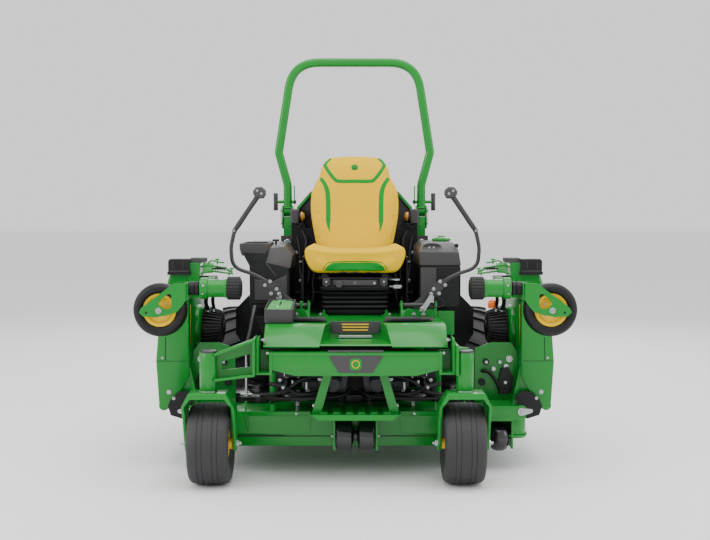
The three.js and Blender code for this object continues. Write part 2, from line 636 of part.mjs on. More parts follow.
function wingArm() {
  const { y, z } = GAUGE;
  const centre = [0, y, z];
  const sleeve = rod("x", centre, 37, 520, 634, 16);
  const collar = rod("x", centre, 44, 606, 634, 16);
  const arm = box([606, 634], [y, 425], [z - 33, z + 33]);
  const foot = box([606, WING.top - GAP], [345, 425], [z - 33, z + 33]);
  const cap = turned("x", centre, [[0, 471], [42, 471], [48, 478], [48, 526], [0, 526]], 16);
  return cut(join(sleeve, collar, arm, foot, cap), rod("x", centre, 17, 531, 640, 16));
}

function wingFork() {
  const { y, z, wheelX, wheelZ } = GAUGE;
  const outline = [[681, 814], [681, 744], [712, 694], [797, 680], [856, 680], [868, 695], [853, 716],
    [732, 809]];
  const opening = [[752, 770], [739, 722], [768, 712], [796, 728]];
  const leg = (from) => cut(prism("y", outline, from, from + PLATE),
    prism("y", opening, from - 5, from + 12));
  const bridge = box([681, 689], [y - 56, y + 56], [744, 814]);
  const stem = rod("x", [0, y, z], 15, 536, 684, 16);
  const spacers = rod("x", [0, y, z], 27, 637, 682, 20);
  const axle = rod("y", [wheelX, y, wheelZ], 8, -56, 56);
  return join(leg(y - 56), leg(y + 50), bridge, stem, spacers, axle);
}

const gaugeWheel = bothSides([[9.5, 45], [48, 30], [76, 40], [98, 38], [GAUGE.r, 10]]);

pair("wing_shell", wingShell(), GREEN);
pair("wing_motor", wingMotor(), BLACK);
pair("wing_blade", wingBlade(), STEEL);
pair("wing_arm", wingArm(), GREEN);
pair("wing_fork", wingFork(), GREEN);
pair("wing_wheel", turned("y", [GAUGE.wheelX, GAUGE.y, GAUGE.wheelZ], gaugeWheel, 20), RUBBER);

export default mower;
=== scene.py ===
"""A zero turn mower with folded wing decks: surfaces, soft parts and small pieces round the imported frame."""
import json
import math

import bmesh
import bpy
from mathutils import Matrix, Vector
from mathutils.bvhtree import BVHTree


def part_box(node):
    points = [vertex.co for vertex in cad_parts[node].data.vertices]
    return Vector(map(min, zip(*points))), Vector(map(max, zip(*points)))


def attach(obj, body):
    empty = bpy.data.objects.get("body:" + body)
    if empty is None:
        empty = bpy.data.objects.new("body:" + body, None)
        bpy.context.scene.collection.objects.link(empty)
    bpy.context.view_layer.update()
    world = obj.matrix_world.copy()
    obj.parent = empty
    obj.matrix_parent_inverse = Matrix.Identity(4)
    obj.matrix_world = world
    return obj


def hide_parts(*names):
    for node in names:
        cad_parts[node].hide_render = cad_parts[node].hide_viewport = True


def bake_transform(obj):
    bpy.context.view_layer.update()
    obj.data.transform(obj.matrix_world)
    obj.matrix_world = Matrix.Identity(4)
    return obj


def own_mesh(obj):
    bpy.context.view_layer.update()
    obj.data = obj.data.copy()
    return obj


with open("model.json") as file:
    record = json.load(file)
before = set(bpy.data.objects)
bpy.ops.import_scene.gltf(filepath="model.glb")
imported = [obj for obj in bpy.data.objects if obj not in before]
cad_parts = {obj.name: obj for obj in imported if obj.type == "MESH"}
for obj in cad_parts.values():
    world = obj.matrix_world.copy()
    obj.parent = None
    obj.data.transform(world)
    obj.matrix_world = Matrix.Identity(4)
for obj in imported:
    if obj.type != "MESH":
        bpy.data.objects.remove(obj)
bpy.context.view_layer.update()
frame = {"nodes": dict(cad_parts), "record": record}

MM = 0.001
SIDES = (("left", 1), ("right", -1))
SHARP = math.radians(35)  # edges sharper than this stay crisp
TUBE_SHARP = math.radians(60)  # the same for hoses, bent rods and tyres
CLOTH_FRAMES = 20  # frames the seat covers take to settle
WELD = 0.00002  # metres within which drawn points become one


def middle(node):
    low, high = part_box(node)
    return (low + high) / 2


DRIVE_WHEEL = (550, 1350, 305)  # wheel centres on the left side, in millimetres
GAUGE_WHEEL = (800, 80, 702)
CASTER_X, CASTER_Z = {"left": 436, "right": -586}, 165
STEM_Y = -75  # the steering axis of the front casters
ARM_AXIS = (80, 790)  # y and z of the line along x that a gauge wheel arm turns on
WING_DRIVE_AXIS = (610, 578)  # y and z of a folded wing's drive cover
AXLE_Y = middle("caster_tyre_left").y  # pieces are placed with Y counted from the front caster axle


def at(x, y, z):
    """A point in millimetres, with Y from the front axle, as metres in the frame."""
    return Vector((x * MM, y * MM + AXLE_Y, z * MM))


# ---------- camera, light and floor ----------
def studio():
    camera = bpy.data.objects.new("camera", bpy.data.cameras.new("camera"))
    camera.data.sensor_width, camera.data.lens = 36, 56.7
    camera.location = at(-22, -4500, 1100)
    camera.rotation_euler = (math.radians(90 - 2.94), 0, math.radians(-0.25))
    bpy.context.collection.objects.link(camera)
    bpy.context.scene.camera = camera

    world = bpy.data.worlds.new("studio")
    world.use_nodes = True
    world.node_tree.nodes["Background"].inputs["Color"].default_value = (1, 1, 1, 1)
    world.node_tree.nodes["Background"].inputs["Strength"].default_value = 1.15
    bpy.context.scene.world = world

    def softbox(name, place, aim, size, watts):
        lamp = bpy.data.lights.new(name, "AREA")
        lamp.shape, lamp.size, lamp.size_y, lamp.energy = "RECTANGLE", *size, watts
        obj = bpy.data.objects.new(name, lamp)
        obj.location = place
        obj.rotation_euler = (Vector(aim) - Vector(place)).to_track_quat("-Z", "Y").to_euler()
        bpy.context.collection.objects.link(obj)

    softbox("softbox_top", (0.4, -1.5, 5.0), (0, -0.2, 0.5), (5, 4), 190)
    softbox("softbox_left", (-4.5, -3.0, 2.8), (0, 0, 0.8), (2.5, 3), 120)
    softbox("softbox_right", (4.5, -2.5, 2.5), (0, 0, 0.8), (2, 3), 60)
    softbox("softbox_back", (0.5, 4.5, 3.5), (0, 0, 0.8), (4, 3), 120)

    floor_mesh = bpy.data.meshes.new("floor")
    reach = 60
    floor_mesh.from_pydata([(-reach, -reach, 0), (reach, -reach, 0), (reach, reach, 0), (-reach, reach, 0)],
        [], [(0, 1, 2, 3)])
    floor = bpy.data.objects.new("floor", floor_mesh)
    floor.location.z = -0.001
    bpy.context.collection.objects.link(floor)
    floor.data.materials.append(surface("floor", (0.86, 0.86, 0.87), 0.9, grain=0.01, bump=0.0))


# ---------- materials ----------
def surface(name, color, roughness, metallic=0.0, grain=0.06, scale=40.0, bump=0.05, bump_scale=400.0,
        dust=0.0, coat=0.0, specular=0.5, transmission=0.0):
    """A node material: its colour and roughness drift over the surface, and fine grain lifts it."""
    made = bpy.data.materials.new(name)
    made.use_nodes = True
    nodes, links = made.node_tree.nodes, made.node_tree.links
    shader = nodes["Principled BSDF"]
    shader.inputs["Metallic"].default_value = metallic
    shader.inputs["Coat Weight"].default_value = coat
    shader.inputs["Coat Roughness"].default_value = 0.12
    shader.inputs["Specular IOR Level"].default_value = specular
    shader.inputs["Transmission Weight"].default_value = transmission
    place = nodes.new("ShaderNodeTexCoord")

    drift = nodes.new("ShaderNodeTexNoise")
    drift.inputs["Scale"].default_value = scale
    drift.inputs["Detail"].default_value = 5
    links.new(place.outputs["Object"], drift.inputs["Vector"])
    shade = nodes.new("ShaderNodeMix")
    shade.data_type = "RGBA"
    low, high = 1 - grain, 1 + grain
    shade.inputs["A"].default_value = (*[c * low for c in color], 1)
    shade.inputs["B"].default_value = (*[min(1, c * high) for c in color], 1)
    links.new(drift.outputs["Fac"], shade.inputs["Factor"])
    tint = shade.outputs["Result"]
    if dust:  # pale dust that settles on faces turned up
        geometry = nodes.new("ShaderNodeNewGeometry")
        height = nodes.new("ShaderNodeSeparateXYZ")
        links.new(geometry.outputs["Normal"], height.inputs["Vector"])
        amount = nodes.new("ShaderNodeMath")
        amount.operation, amount.use_clamp = "MULTIPLY", True
        links.new(height.outputs["Z"], amount.inputs[0])
        amount.inputs[1].default_value = dust
        settle = nodes.new("ShaderNodeMix")
        settle.data_type = "RGBA"
        settle.inputs["B"].default_value = (0.45, 0.43, 0.4, 1)
        links.new(amount.outputs["Value"], settle.inputs["Factor"])
        links.new(tint, settle.inputs["A"])
        tint = settle.outputs["Result"]
    links.new(tint, shader.inputs["Base Color"])

    rough = nodes.new("ShaderNodeMapRange")
    rough.inputs["To Min"].default_value = max(0.02, roughness - 0.06)
    rough.inputs["To Max"].default_value = min(1.0, roughness + 0.06)
    links.new(drift.outputs["Fac"], rough.inputs["Value"])
    links.new(rough.outputs["Result"], shader.inputs["Roughness"])

    if bump:
        fine = nodes.new("ShaderNodeTexNoise")
        fine.inputs["Scale"].default_value = bump_scale
        fine.inputs["Detail"].default_value = 3
        links.new(place.outputs["Object"], fine.inputs["Vector"])
        lift = nodes.new("ShaderNodeBump")
        lift.inputs["Strength"].default_value = bump
        lift.inputs["Distance"].default_value = 0.002
        links.new(fine.outputs["Fac"], lift.inputs["Height"])
        links.new(lift.outputs["Normal"], shader.inputs["Normal"])
    return made


def leather_grain(name, color, roughness):
    """Vinyl with rounded grain cells."""
    made = surface(name, color, roughness, grain=0.04, scale=12, bump=0, specular=0.15)
    nodes, links = made.node_tree.nodes, made.node_tree.links
    place = nodes.new("ShaderNodeTexCoord")
    cells = nodes.new("ShaderNodeTexVoronoi")
    cells.inputs["Scale"].default_value = 420
    links.new(place.outputs["Object"], cells.inputs["Vector"])
    lift = nodes.new("ShaderNodeBump")
    lift.inputs["Strength"].default_value = 0.22
    lift.inputs["Distance"].default_value = 0.001
    links.new(cells.outputs["Distance"], lift.inputs["Height"])
    links.new(lift.outputs["Normal"], nodes["Principled BSDF"].inputs["Normal"])
    return made


def speckle(name, color, dots, scale=600.0):
    """A mat with pale grit in it."""
    made = surface(name, color, 0.85, bump=0.5, bump_scale=500)
    nodes, links = made.node_tree.nodes, made.node_tree.links
    place = nodes.new("ShaderNodeTexCoord")
    noise = nodes.new("ShaderNodeTexNoise")
    noise.inputs["Scale"].default_value = scale
    links.new(place.outputs["Object"], noise.inputs["Vector"])
    ramp = nodes.new("ShaderNodeValToRGB")
    ramp.color_ramp.elements[0].position, ramp.color_ramp.elements[0].color = 0.6, (*color, 1)
    ramp.color_ramp.elements[1].position, ramp.color_ramp.elements[1].color = 0.7, (*dots, 1)
    links.new(noise.outputs["Fac"], ramp.inputs["Fac"])
    links.new(ramp.outputs["Color"], nodes["Principled BSDF"].inputs["Base Color"])
    return made


GREEN = surface("green_paint", (0.0, 0.2, 0.016), 0.3, grain=0.05, scale=9, bump=0.02, bump_scale=900,
    coat=0.15, specular=0.35)
YELLOW = surface("yellow_paint", (0.8, 0.5, 0.0), 0.33, grain=0.03, scale=20, bump=0.02, coat=0.1,
    specular=0.3)
BLACK = surface("black_paint", (0.006, 0.006, 0.007), 0.42, grain=0.2, scale=30, bump=0.08, dust=0.02,
    specular=0.25)
PLASTIC = surface("black_plastic", (0.009, 0.009, 0.01), 0.45, grain=0.12, scale=60, bump=0.2, bump_scale=700,
    specular=0.3)
GREY = surface("grey_plastic", (0.04, 0.037, 0.039), 0.5, grain=0.08, scale=50, bump=0.3, bump_scale=650)
GREY_PAINT = surface("grey_paint", (0.026, 0.024, 0.025), 0.32, grain=0.08, scale=60, bump=0.05)
GRIP = surface("grip_rubber", (0.03, 0.028, 0.03), 0.65, grain=0.1, scale=90, bump=0.35, bump_scale=900)
TYRE = surface("tyre_rubber", (0.018, 0.017, 0.019), 0.62, grain=0.18, scale=35, bump=0.2, bump_scale=350,
    dust=0.03)
RUBBER = surface("bellows_rubber", (0.007, 0.007, 0.008), 0.5, grain=0.1, scale=60, bump=0.15, specular=0.3)
GLOSS = surface("roller_plastic", (0.008, 0.008, 0.009), 0.22, grain=0.1, scale=50, bump=0.02, coat=0.3)
ZINC = surface("zinc", (0.4, 0.41, 0.42), 0.26, metallic=0.95, grain=0.2, scale=120, bump=0.08)
STEEL = surface("bare_steel", (0.42, 0.42, 0.43), 0.38, metallic=0.95, grain=0.15, scale=80, bump=0.06)
ALLOY = surface("cast_alloy", (0.05, 0.05, 0.055), 0.5, metallic=0.5, grain=0.15, scale=60, bump=0.4,
    bump_scale=300)
VINYL = leather_grain("seat_vinyl", (0.72, 0.44, 0.0), 0.6)
VINYL_GREEN = leather_grain("seat_vinyl_green", (0.002, 0.23, 0.025), 0.5)
MAT = speckle("floor_mat", (0.035, 0.035, 0.038), (0.2, 0.2, 0.2))
BOOT = speckle("lever_boot", (0.05, 0.3, 0.07), (0.35, 0.75, 0.35), 130)
AMBER = surface("amber_lens", (0.85, 0.36, 0.03), 0.12, grain=0.1, scale=30, bump=0.05, coat=0.5,
    transmission=0.25)
ORANGE = surface("orange_cap", (0.9, 0.16, 0.01), 0.4, grain=0.05, bump=0.1)
# a paler copy of the green paint: painted reflection for the shiny stop blocks
GREEN_SHEEN = surface("green_paint_painted_sheen", (0.1, 0.5, 0.12), 0.35, grain=0.05, bump=0.03)


# ---------- mesh building ----------
def curve(points, steps):
    """A smooth curve through points, with steps points to each span."""
    path = [Vector(p) for p in points]
    fine = []
    for i in range(len(path) - 1):
        p0, p1, p2, p3 = path[max(i - 1, 0)], path[i], path[i + 1], path[min(i + 2, len(path) - 1)]
        for k in range(steps):
            t = k / steps
            fine.append((p1 * 2 + (p2 - p0) * t + (p0 * 2 - p1 * 5 + p2 * 4 - p3) * t ** 2
                + (p1 * 3 - p0 - p2 * 3 + p3) * t ** 3) / 2)
    return fine + [path[-1]]


class Shape:
    """Solids drawn into one mesh, in millimetres with Y from the front axle."""

    def __init__(self, side=1):
        self.bm = bmesh.new()
        self.side = side  # -1 mirrors what is drawn to the machine's right

    def vert(self, x, y, z):
        return self.bm.verts.new(at(x * self.side, y, z))

    def rings(self, rings, closed=True, caps=True):
        """Joins rings of points in turn. With closed, each ring is a loop."""
        grid = [[self.vert(*p) for p in ring] for ring in rings]
        count = len(grid[0])
        for a, b in zip(grid, grid[1:]):
            for i in range(count if closed else count - 1):
                j = (i + 1) % count
                self.bm.faces.new((a[i], a[j], b[j], b[i]))
        if caps:
            self.bm.faces.new(grid[0][::-1])
            self.bm.faces.new(grid[-1])
        return self

    def prism(self, axis, outline, low, high):
        """An outline extruded: (x, y) along z, (x, z) along y, or (y, z) along x."""
        return self.rings([[{"x": (t, u, v), "y": (u, t, v), "z": (u, v, t)}[axis] for u, v in outline]
            for t in (low, high)])

    def box(self, x, y, z):
        x, y, z = sorted(x), sorted(y), sorted(z)
        return self.prism("z", [(x[0], y[0]), (x[1], y[0]), (x[1], y[1]), (x[0], y[1])], *z)

    def lathe(self, axis, centre, outline, steps=32, ring=False):
        """(radius, place along the axis) turned about the axis through centre. ring closes the outline."""
        def point(r, t, a):
            u, v = r * math.cos(a), r * math.sin(a)
            x, y, z = {"x": (t, u, v), "y": (u, t, v), "z": (u, v, t)}[axis]
            return x + centre[0], y + centre[1], z + centre[2]

        turns = [2 * math.pi * i / steps for i in range(steps)]
        loop = list(outline) + ([outline[0]] if ring else [])
        return self.rings([[point(max(r, 0.01), t, a) for a in turns] for r, t in loop], caps=not ring)

    def rod(self, axis, centre, r, low, high, steps=20):
        chamfer = min(1.2, r * 0.2)
        low, high = sorted((low, high))
        return self.lathe(axis, centre, [(r - chamfer, low), (r, low + chamfer), (r, high - chamfer),
            (r - chamfer, high)], steps)

    def tube(self, points, r, sides=12, smooth=6):
        """A round tube along a smooth path through points; r is one radius or one for each point."""
        radii = r if isinstance(r, list) else [r] * len(points)
        fine = curve(points, smooth)
        thick = [a * (1 - k / smooth) + b * (k / smooth) for a, b in zip(radii, radii[1:])
            for k in range(smooth)] + [radii[-1]]
        up = Vector((0.13, 0.07, 0.99))
        rings = []
        for i, p in enumerate(fine):
            along = (fine[min(i + 1, len(fine) - 1)] - fine[max(i - 1, 0)]).normalized()
            if abs(along.dot(up)) > 0.98:
                up = Vector((0.99, 0.1, 0.05))
            across = along.cross(up).normalized()
            over = across.cross(along).normalized()
            up = over
            rings.append([p + (across * math.cos(a) + over * math.sin(a)) * thick[i]
                for a in (2 * math.pi * k / sides for k in range(sides))])
        return self.rings(rings)

    def hull(self, points):
        verts = [self.vert(*p) for p in points]
        bmesh.ops.convex_hull(self.bm, input=verts)
        return self

    def slab(self, outline, front, back):
        """The convex hull of an (x, z) outline between two depths."""
        return self.hull([(x, y, z) for x, z in outline for y in (front, back)])

    def bolt(self, place, r=8.0, direction=(0, -1, 0), washer=True):
        """A washer and a hexagon head standing out along direction."""
        along = Vector(direction).normalized()
        across = along.orthogonal().normalized()
        over = along.cross(across)
        centre = Vector(place)

        def ring(radius, height, count):
            return [centre + along * height + (across * math.cos(a) + over * math.sin(a)) * radius
                for a in (2 * math.pi * k / count for k in range(count))]

        if washer:
            self.rings([ring(r * 1.45, -1, 16), ring(r * 1.45, 1.6, 16)])
        self.rings([ring(r, 1.2, 6), ring(r, r * 0.6, 6), ring(r * 0.82, r * 0.75, 6)])
        return self.rings([ring(r * 0.45, r * 0.6, 10), ring(r * 0.42, r * 1.0, 10)])


def round_edges(obj, bevel, sharp):
    rounding = obj.modifiers.new("rounding", "BEVEL")
    rounding.width, rounding.segments = bevel * MM, 2
    rounding.limit_method, rounding.angle_limit = "ANGLE", sharp
    rounding.harden_normals = True


def finish_mesh(obj, bevel, sharp=SHARP):
    """Rounded edges, and smooth shading between them."""
    bm = bmesh.new()
    bm.from_mesh(obj.data)
    for face in bm.faces:
        face.smooth = True
    for edge in bm.edges:
        edge.smooth = len(edge.link_faces) == 2 and edge.calc_face_angle(0) < sharp
    bm.to_mesh(obj.data)
    bm.free()
    if bevel:
        round_edges(obj, bevel, sharp)


def to_object(name, bm, material):
    """Puts a drawn mesh in the scene."""
    bmesh.ops.recalc_face_normals(bm, faces=bm.faces)
    mesh = bpy.data.meshes.new(name)
    bm.to_mesh(mesh)
    bm.free()
    obj = bpy.data.objects.new(name, mesh)
    bpy.context.collection.objects.link(obj)
    mesh.materials.append(material)
    return obj


def piece(name, shape, material, body, bevel=1.5, replaces=(), sharp=SHARP):
    """Turns a shape into an object that rides on a body."""
    bmesh.ops.remove_doubles(shape.bm, verts=shape.bm.verts, dist=WELD)
    obj = to_object(name, shape.bm, material)
    finish_mesh(obj, bevel, sharp)
    if body:
        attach(obj, body)
    if replaces:
        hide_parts(*replaces)
    return obj


def arc(cx, cy, r, start, end, steps=8):
    """Points on an arc, angles in degrees."""
    turns = [math.radians(start + (end - start) * i / steps) for i in range(steps + 1)]
    return [(cx + r * math.cos(a), cy + r * math.sin(a)) for a in turns]


def two_sided(half):
    """A wheel's whole section from the (radius, offset) points of one side."""
    return half + [(r, -t) for r, t in reversed(half)]


def rounded_box(x, z, r, steps=5):
    """A rectangle's outline with round corners."""
    (x0, x1), (z0, z1) = x, z
    corners = ((x1 - r, z1 - r), (x0 + r, z1 - r), (x0 + r, z0 + r), (x1 - r, z0 + r))
    return sum((arc(*corner, r, 90 * i, 90 * i + 90, steps) for i, corner in enumerate(corners)), [])


def rounded_ring(x, y, r, z, steps=4):
    """The same outline lying level at height z."""
    return [(u, v, z) for u, v in rounded_box(x, y, r, steps)]


# ---------- the CAD nodes that stay ----------
def dress_cad():
    """Softens the CAD nodes' edges and gives each one its material."""
    finishes = {"green_paint": (GREEN, 2.5), "black_paint": (BLACK, 2), "engine_alloy": (ALLOY, 3),
        "black_plastic": (PLASTIC, 4), "hydraulic_black": (ALLOY, 3), "grey_plastic": (GREY, 5),
        "grey_paint": (GREY_PAINT, 1.5), "seat_vinyl": (VINYL, 6), "bellows_rubber": (RUBBER, 3),
        "tyre_rubber": (TYRE, 4), "yellow_paint": (YELLOW, 2), "roller_plastic": (GLOSS, 3),
        "bare_steel": (GREY_PAINT, 1.2)}
    by_node = {row["node"]: finishes[row["material_slot"]] for row in frame["record"]["subparts"]}
    for name, obj in frame["nodes"].items():
        material, bevel = by_node[name]
        obj.data.materials.clear()
        obj.data.materials.append(material)
        for polygon in obj.data.polygons:
            polygon.use_smooth = True
        weld = obj.modifiers.new("weld", "WELD")
        weld.merge_threshold = 0.00005
        round_edges(obj, bevel, SHARP)


studio()
dress_cad()


# ---------- roll hoop, posts and lamps ----------
def filleted(points, radii):
    """The path through points with its inner corners rounded."""
    path = [Vector(points[0])]
    for i in range(1, len(points) - 1):
        corner = Vector(points[i])
        a = (Vector(points[i - 1]) - corner).normalized()
        b = (Vector(points[i + 1]) - corner).normalized()
        reach = radii[i - 1] / math.tan(a.angle(b) / 2)
        start, end = corner + a * reach, corner + b * reach
        for k in range(9):
            t = k / 8
            path.append(start * (1 - t) ** 2 + corner * 2 * t * (1 - t) + end * t * t)
    path.append(Vector(points[-1]))
    return path


def roll_hoop():
    half = [(336, 1112), (336, 1240), (380, 1402), (310, 1850)]
    half += [(-x, z) for x, z in reversed(half)]
    path = filleted(half, [90, 50, 155, 155, 50, 90])
    section = rounded_box((-21, 21), (1125, 1175), 15, 5)
    hoop = Shape()
    rings = []
    for i, p in enumerate(path):
        along = (path[min(i + 1, len(path) - 1)] - path[max(i - 1, 0)]).normalized()
        rings.append([(p.x - along.y * u, y, p.y + along.x * u) for u, y in section])
    hoop.rings(rings)
    piece("hoop_tube", hoop, GREEN, "rops", replaces=["rops_hoop"])
    for side, s in SIDES:
        piece(f"hoop_buffer_{side}", Shape(s).prism("z", rounded_box((313.5, 358.5), (1122, 1178), 10), 1114,
            1122), RUBBER, "rops", 1)
        pin = Shape(s).rod("x", (0, 1150, 1154), 8, 303, 398)
        pin.tube([(303, 1150, 1140), (302, 1150, 1180), (303, 1150, 1236)], 3, 8, 3)
        piece(f"pin_rod_{side}", pin, GREEN, f"rops_pin_{side}", 0.6, replaces=[f"rops_pin_{side}"])
        piece(f"pin_handle_{side}", Shape(s).lathe("z", (397, 1150, 0), [(9, 1110), (11.5, 1114),
            (10.5, 1154), (11.5, 1194), (9, 1198)], 20), GRIP, f"rops_pin_{side}", 0.8)
        piece(f"pin_tip_{side}", Shape(s).rod("x", (0, 1150, 1154), 9.5, 294, 303), PLASTIC,
            f"rops_pin_{side}", 0.6)
        hinge = Shape(s)
        for x, out in ((365, 1), (307, -1)):
            hinge.bolt((x, 1150, 1110), 9, (out, 0, 0))
        hinge.bolt((365, 1150, 1045), 7, (1, 0, 0)).bolt((307, 1150, 1045), 7, (-1, 0, 0))
        piece(f"hinge_bolts_{side}", hinge, ZINC, "chassis", 0.4)
        piece(f"pin_clip_{side}", Shape(s).tube([(367, 1128, 1128), (369, 1122, 1110), (368, 1124, 1076),
            (366, 1130, 1052)], 1.6, 6, 4), ZINC, "chassis", 0)

        plate = Shape(s)
        outline = [(304, 985), (369, 985), (369, 955), (344, 884), (331, 878), (304, 912)]
        plate.prism("y", outline, 1108, 1116)
        piece(f"tie_down_{side}", plate, GREY_PAINT, "chassis", 1.2)
        ring = Shape(s).lathe("y", (336, 1106, 950), [(11, -1), (14, -3), (17, -1), (17, 2), (11, 2)], 24,
            ring=True)
        ring.rod("y", (336, 0, 950), 11, 1104, 1108.5).bolt((334, 1107, 899), 5)
        piece(f"tie_down_ring_{side}", ring, ZINC, "chassis", 0.3)


def warning_lamps():
    for side, s in SIDES:
        housing = Shape(s).rings([rounded_ring((278, 316), (1064, 1106), 8, 1048), rounded_ring((273, 320),
            (1062, 1110), 9, 1092), rounded_ring((273, 320), (1062, 1110), 9, 1112), rounded_ring((278, 315),
            (1067, 1106), 8, 1118)])
        housing.box((309, 318), (1105, 1117.5), (1034, 1080))
        piece(f"lamp_housing_{side}", housing, GREY, "chassis", replaces=[f"warning_lamp_{side}"])
        base = Shape(s).lathe("x", (0, 1086, 1075), [(24, 266), (27, 268), (27, 273.5), (20, 274)], 28)
        base.tube([(262, 1075, 1050), (268, 1066, 1036), (286, 1080, 1030), (302, 1100, 1042)], 4, 8, 5)
        piece(f"lamp_base_{side}", base, PLASTIC, "chassis", 0.8)
        lens = Shape(s)
        outline = [(25, 267)]
        for k in range(1, 7):
            turn = math.radians(k * 15)
            outline.append((25 * math.cos(turn) + 0.8 * (k % 2), 267 - 21 * math.sin(turn)))
        lens.lathe("x", (0, 1086, 1080), outline, 28)
        piece(f"lamp_lens_{side}", lens, AMBER, "chassis", 0)
        bracket = Shape(s).prism("y", ((256, 1046), (300, 1046), (306, 1010), (278, 930), (240, 930),
            (243, 985)), 1112, 1117)
        bracket.box((262, 300), (1090, 1117), (1043, 1047))
        piece(f"lamp_bracket_{side}", bracket, GREY_PAINT, "chassis", 1)
        piece(f"lamp_bolts_{side}", Shape(s).bolt((264, 1111, 972), 7).bolt((290, 1111, 1000),
            4.5).bolt((252, 1111, 942), 5), ZINC, "chassis", 0.3)


# ---------- seat ----------
def inflate(obj, voxel, reach, pressure=4.0):
    """Swells a cushion as cloth under pressure. reach caps how far a point may move, in millimetres."""
    remesh = obj.modifiers.new("remesh", "REMESH")
    remesh.mode, remesh.voxel_size = "VOXEL", voxel * MM
    bake(obj)
    start = [v.co.copy() for v in obj.data.vertices]
    cloth = obj.modifiers.new("cloth", "CLOTH")
    settings = cloth.settings
    settings.use_pressure, settings.uniform_pressure_force = True, pressure
    settings.effector_weights.gravity = 0
    settings.quality = 4
    settings.bending_stiffness = 8
    cloth.point_cache.frame_start, cloth.point_cache.frame_end = 1, CLOTH_FRAMES
    for step in range(1, CLOTH_FRAMES + 1):
        bpy.context.scene.frame_set(step)
    bake(obj)
    bpy.context.scene.frame_set(1)
    for vert, was in zip(obj.data.vertices, start):
        moved = vert.co - was
        if moved.length > reach * MM:
            vert.co = was + moved.normalized() * reach * MM
    subdivide(obj, 1)


def bake(obj):
    """Applies the modifiers to the mesh."""
    graph = bpy.context.evaluated_depsgraph_get()
    mesh = bpy.data.meshes.new_from_object(obj.evaluated_get(graph))
    materials = list(obj.data.materials)
    obj.modifiers.clear()
    obj.data = mesh
    mesh.materials.clear()
    for material in materials:
        mesh.materials.append(material)
    for polygon in mesh.polygons:
        polygon.use_smooth = True


def subdivide(obj, levels):
    smooth = obj.modifiers.new("smooth", "SUBSURF")
    smooth.levels = smooth.render_levels = levels
    bake(obj)


def tree_of(obj):
    bm = bmesh.new()
    bm.from_mesh(obj.data)
    tree = BVHTree.FromBMesh(bm)
    bm.free()
    return tree


def on_surface(tree, x, z):
    """Where a line from the front at (x, z), in millimetres, meets a cushion, and the normal there."""
    hit, normal, _, _ = tree.ray_cast(at(x, 0, z), Vector((0, 1, 0)))
    return hit, normal


def seam_points(tree, outline, lift):
    """The (x, z) points of outline laid on a cushion and lifted off it, in millimetres."""
    points = []
    for x, z in outline:
        hit, normal = on_surface(tree, x, z)
        if hit:
            spot = (hit + normal * lift * MM) / MM
            points.append((spot.x, spot.y - AXLE_Y / MM, spot.z))
    return points


def laid_on(name, tree, grid, lift):
    """A thin green panel sewn on: a grid of (x, z) points laid on a cushion, with its rim tucked in."""
    bm = bmesh.new()
    verts = []
    for i, row in enumerate(grid):
        line = []
        for j, (x, z) in enumerate(row):
            hit, normal = on_surface(tree, x, z)
            if hit is None:
                line.append(None)
                continue
            rim = i in (0, len(grid) - 1) or j in (0, len(row) - 1)
            line.append(bm.verts.new(hit + normal * (-1.2 if rim else lift) * MM))
        verts.append(line)
    for a, b in zip(verts, verts[1:]):
        for p, q, r, t in zip(a, a[1:], b[1:], b):
            if None not in (p, q, r, t):
                bm.faces.new((p, q, r, t))
    obj = to_object(name, bm, VINYL_GREEN)
    for polygon in obj.data.polygons:
        polygon.use_smooth = True
    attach(obj, "seat")


def band_grid(path, width, across=6, along=5):
    """Rows of points across a curved band through path, in (x, z)."""
    fine = curve(path, along)
    rows = []
    for i, p in enumerate(fine):
        along_dir = (fine[min(i + 1, len(fine) - 1)] - fine[max(i - 1, 0)]).normalized()
        side = Vector((-along_dir.y, along_dir.x))
        wide = width(i / (len(fine) - 1)) if callable(width) else width
        rows.append([tuple(p + side * wide * (k / across - 0.5)) for k in range(across + 1)])
    return rows


BACK_BASE = (858, 880)  # lower edge of the back's front face, as y and z
BACK_LEAN = math.radians(12)
BACK_OUTLINE = [(150, 8), (168, 20), (183, 60), (197, 130), (212, 210), (215, 260), (215, 320), (205, 352),
    (188, 390), (173, 412), (166, 446), (155, 484), (132, 513), (100, 522)]


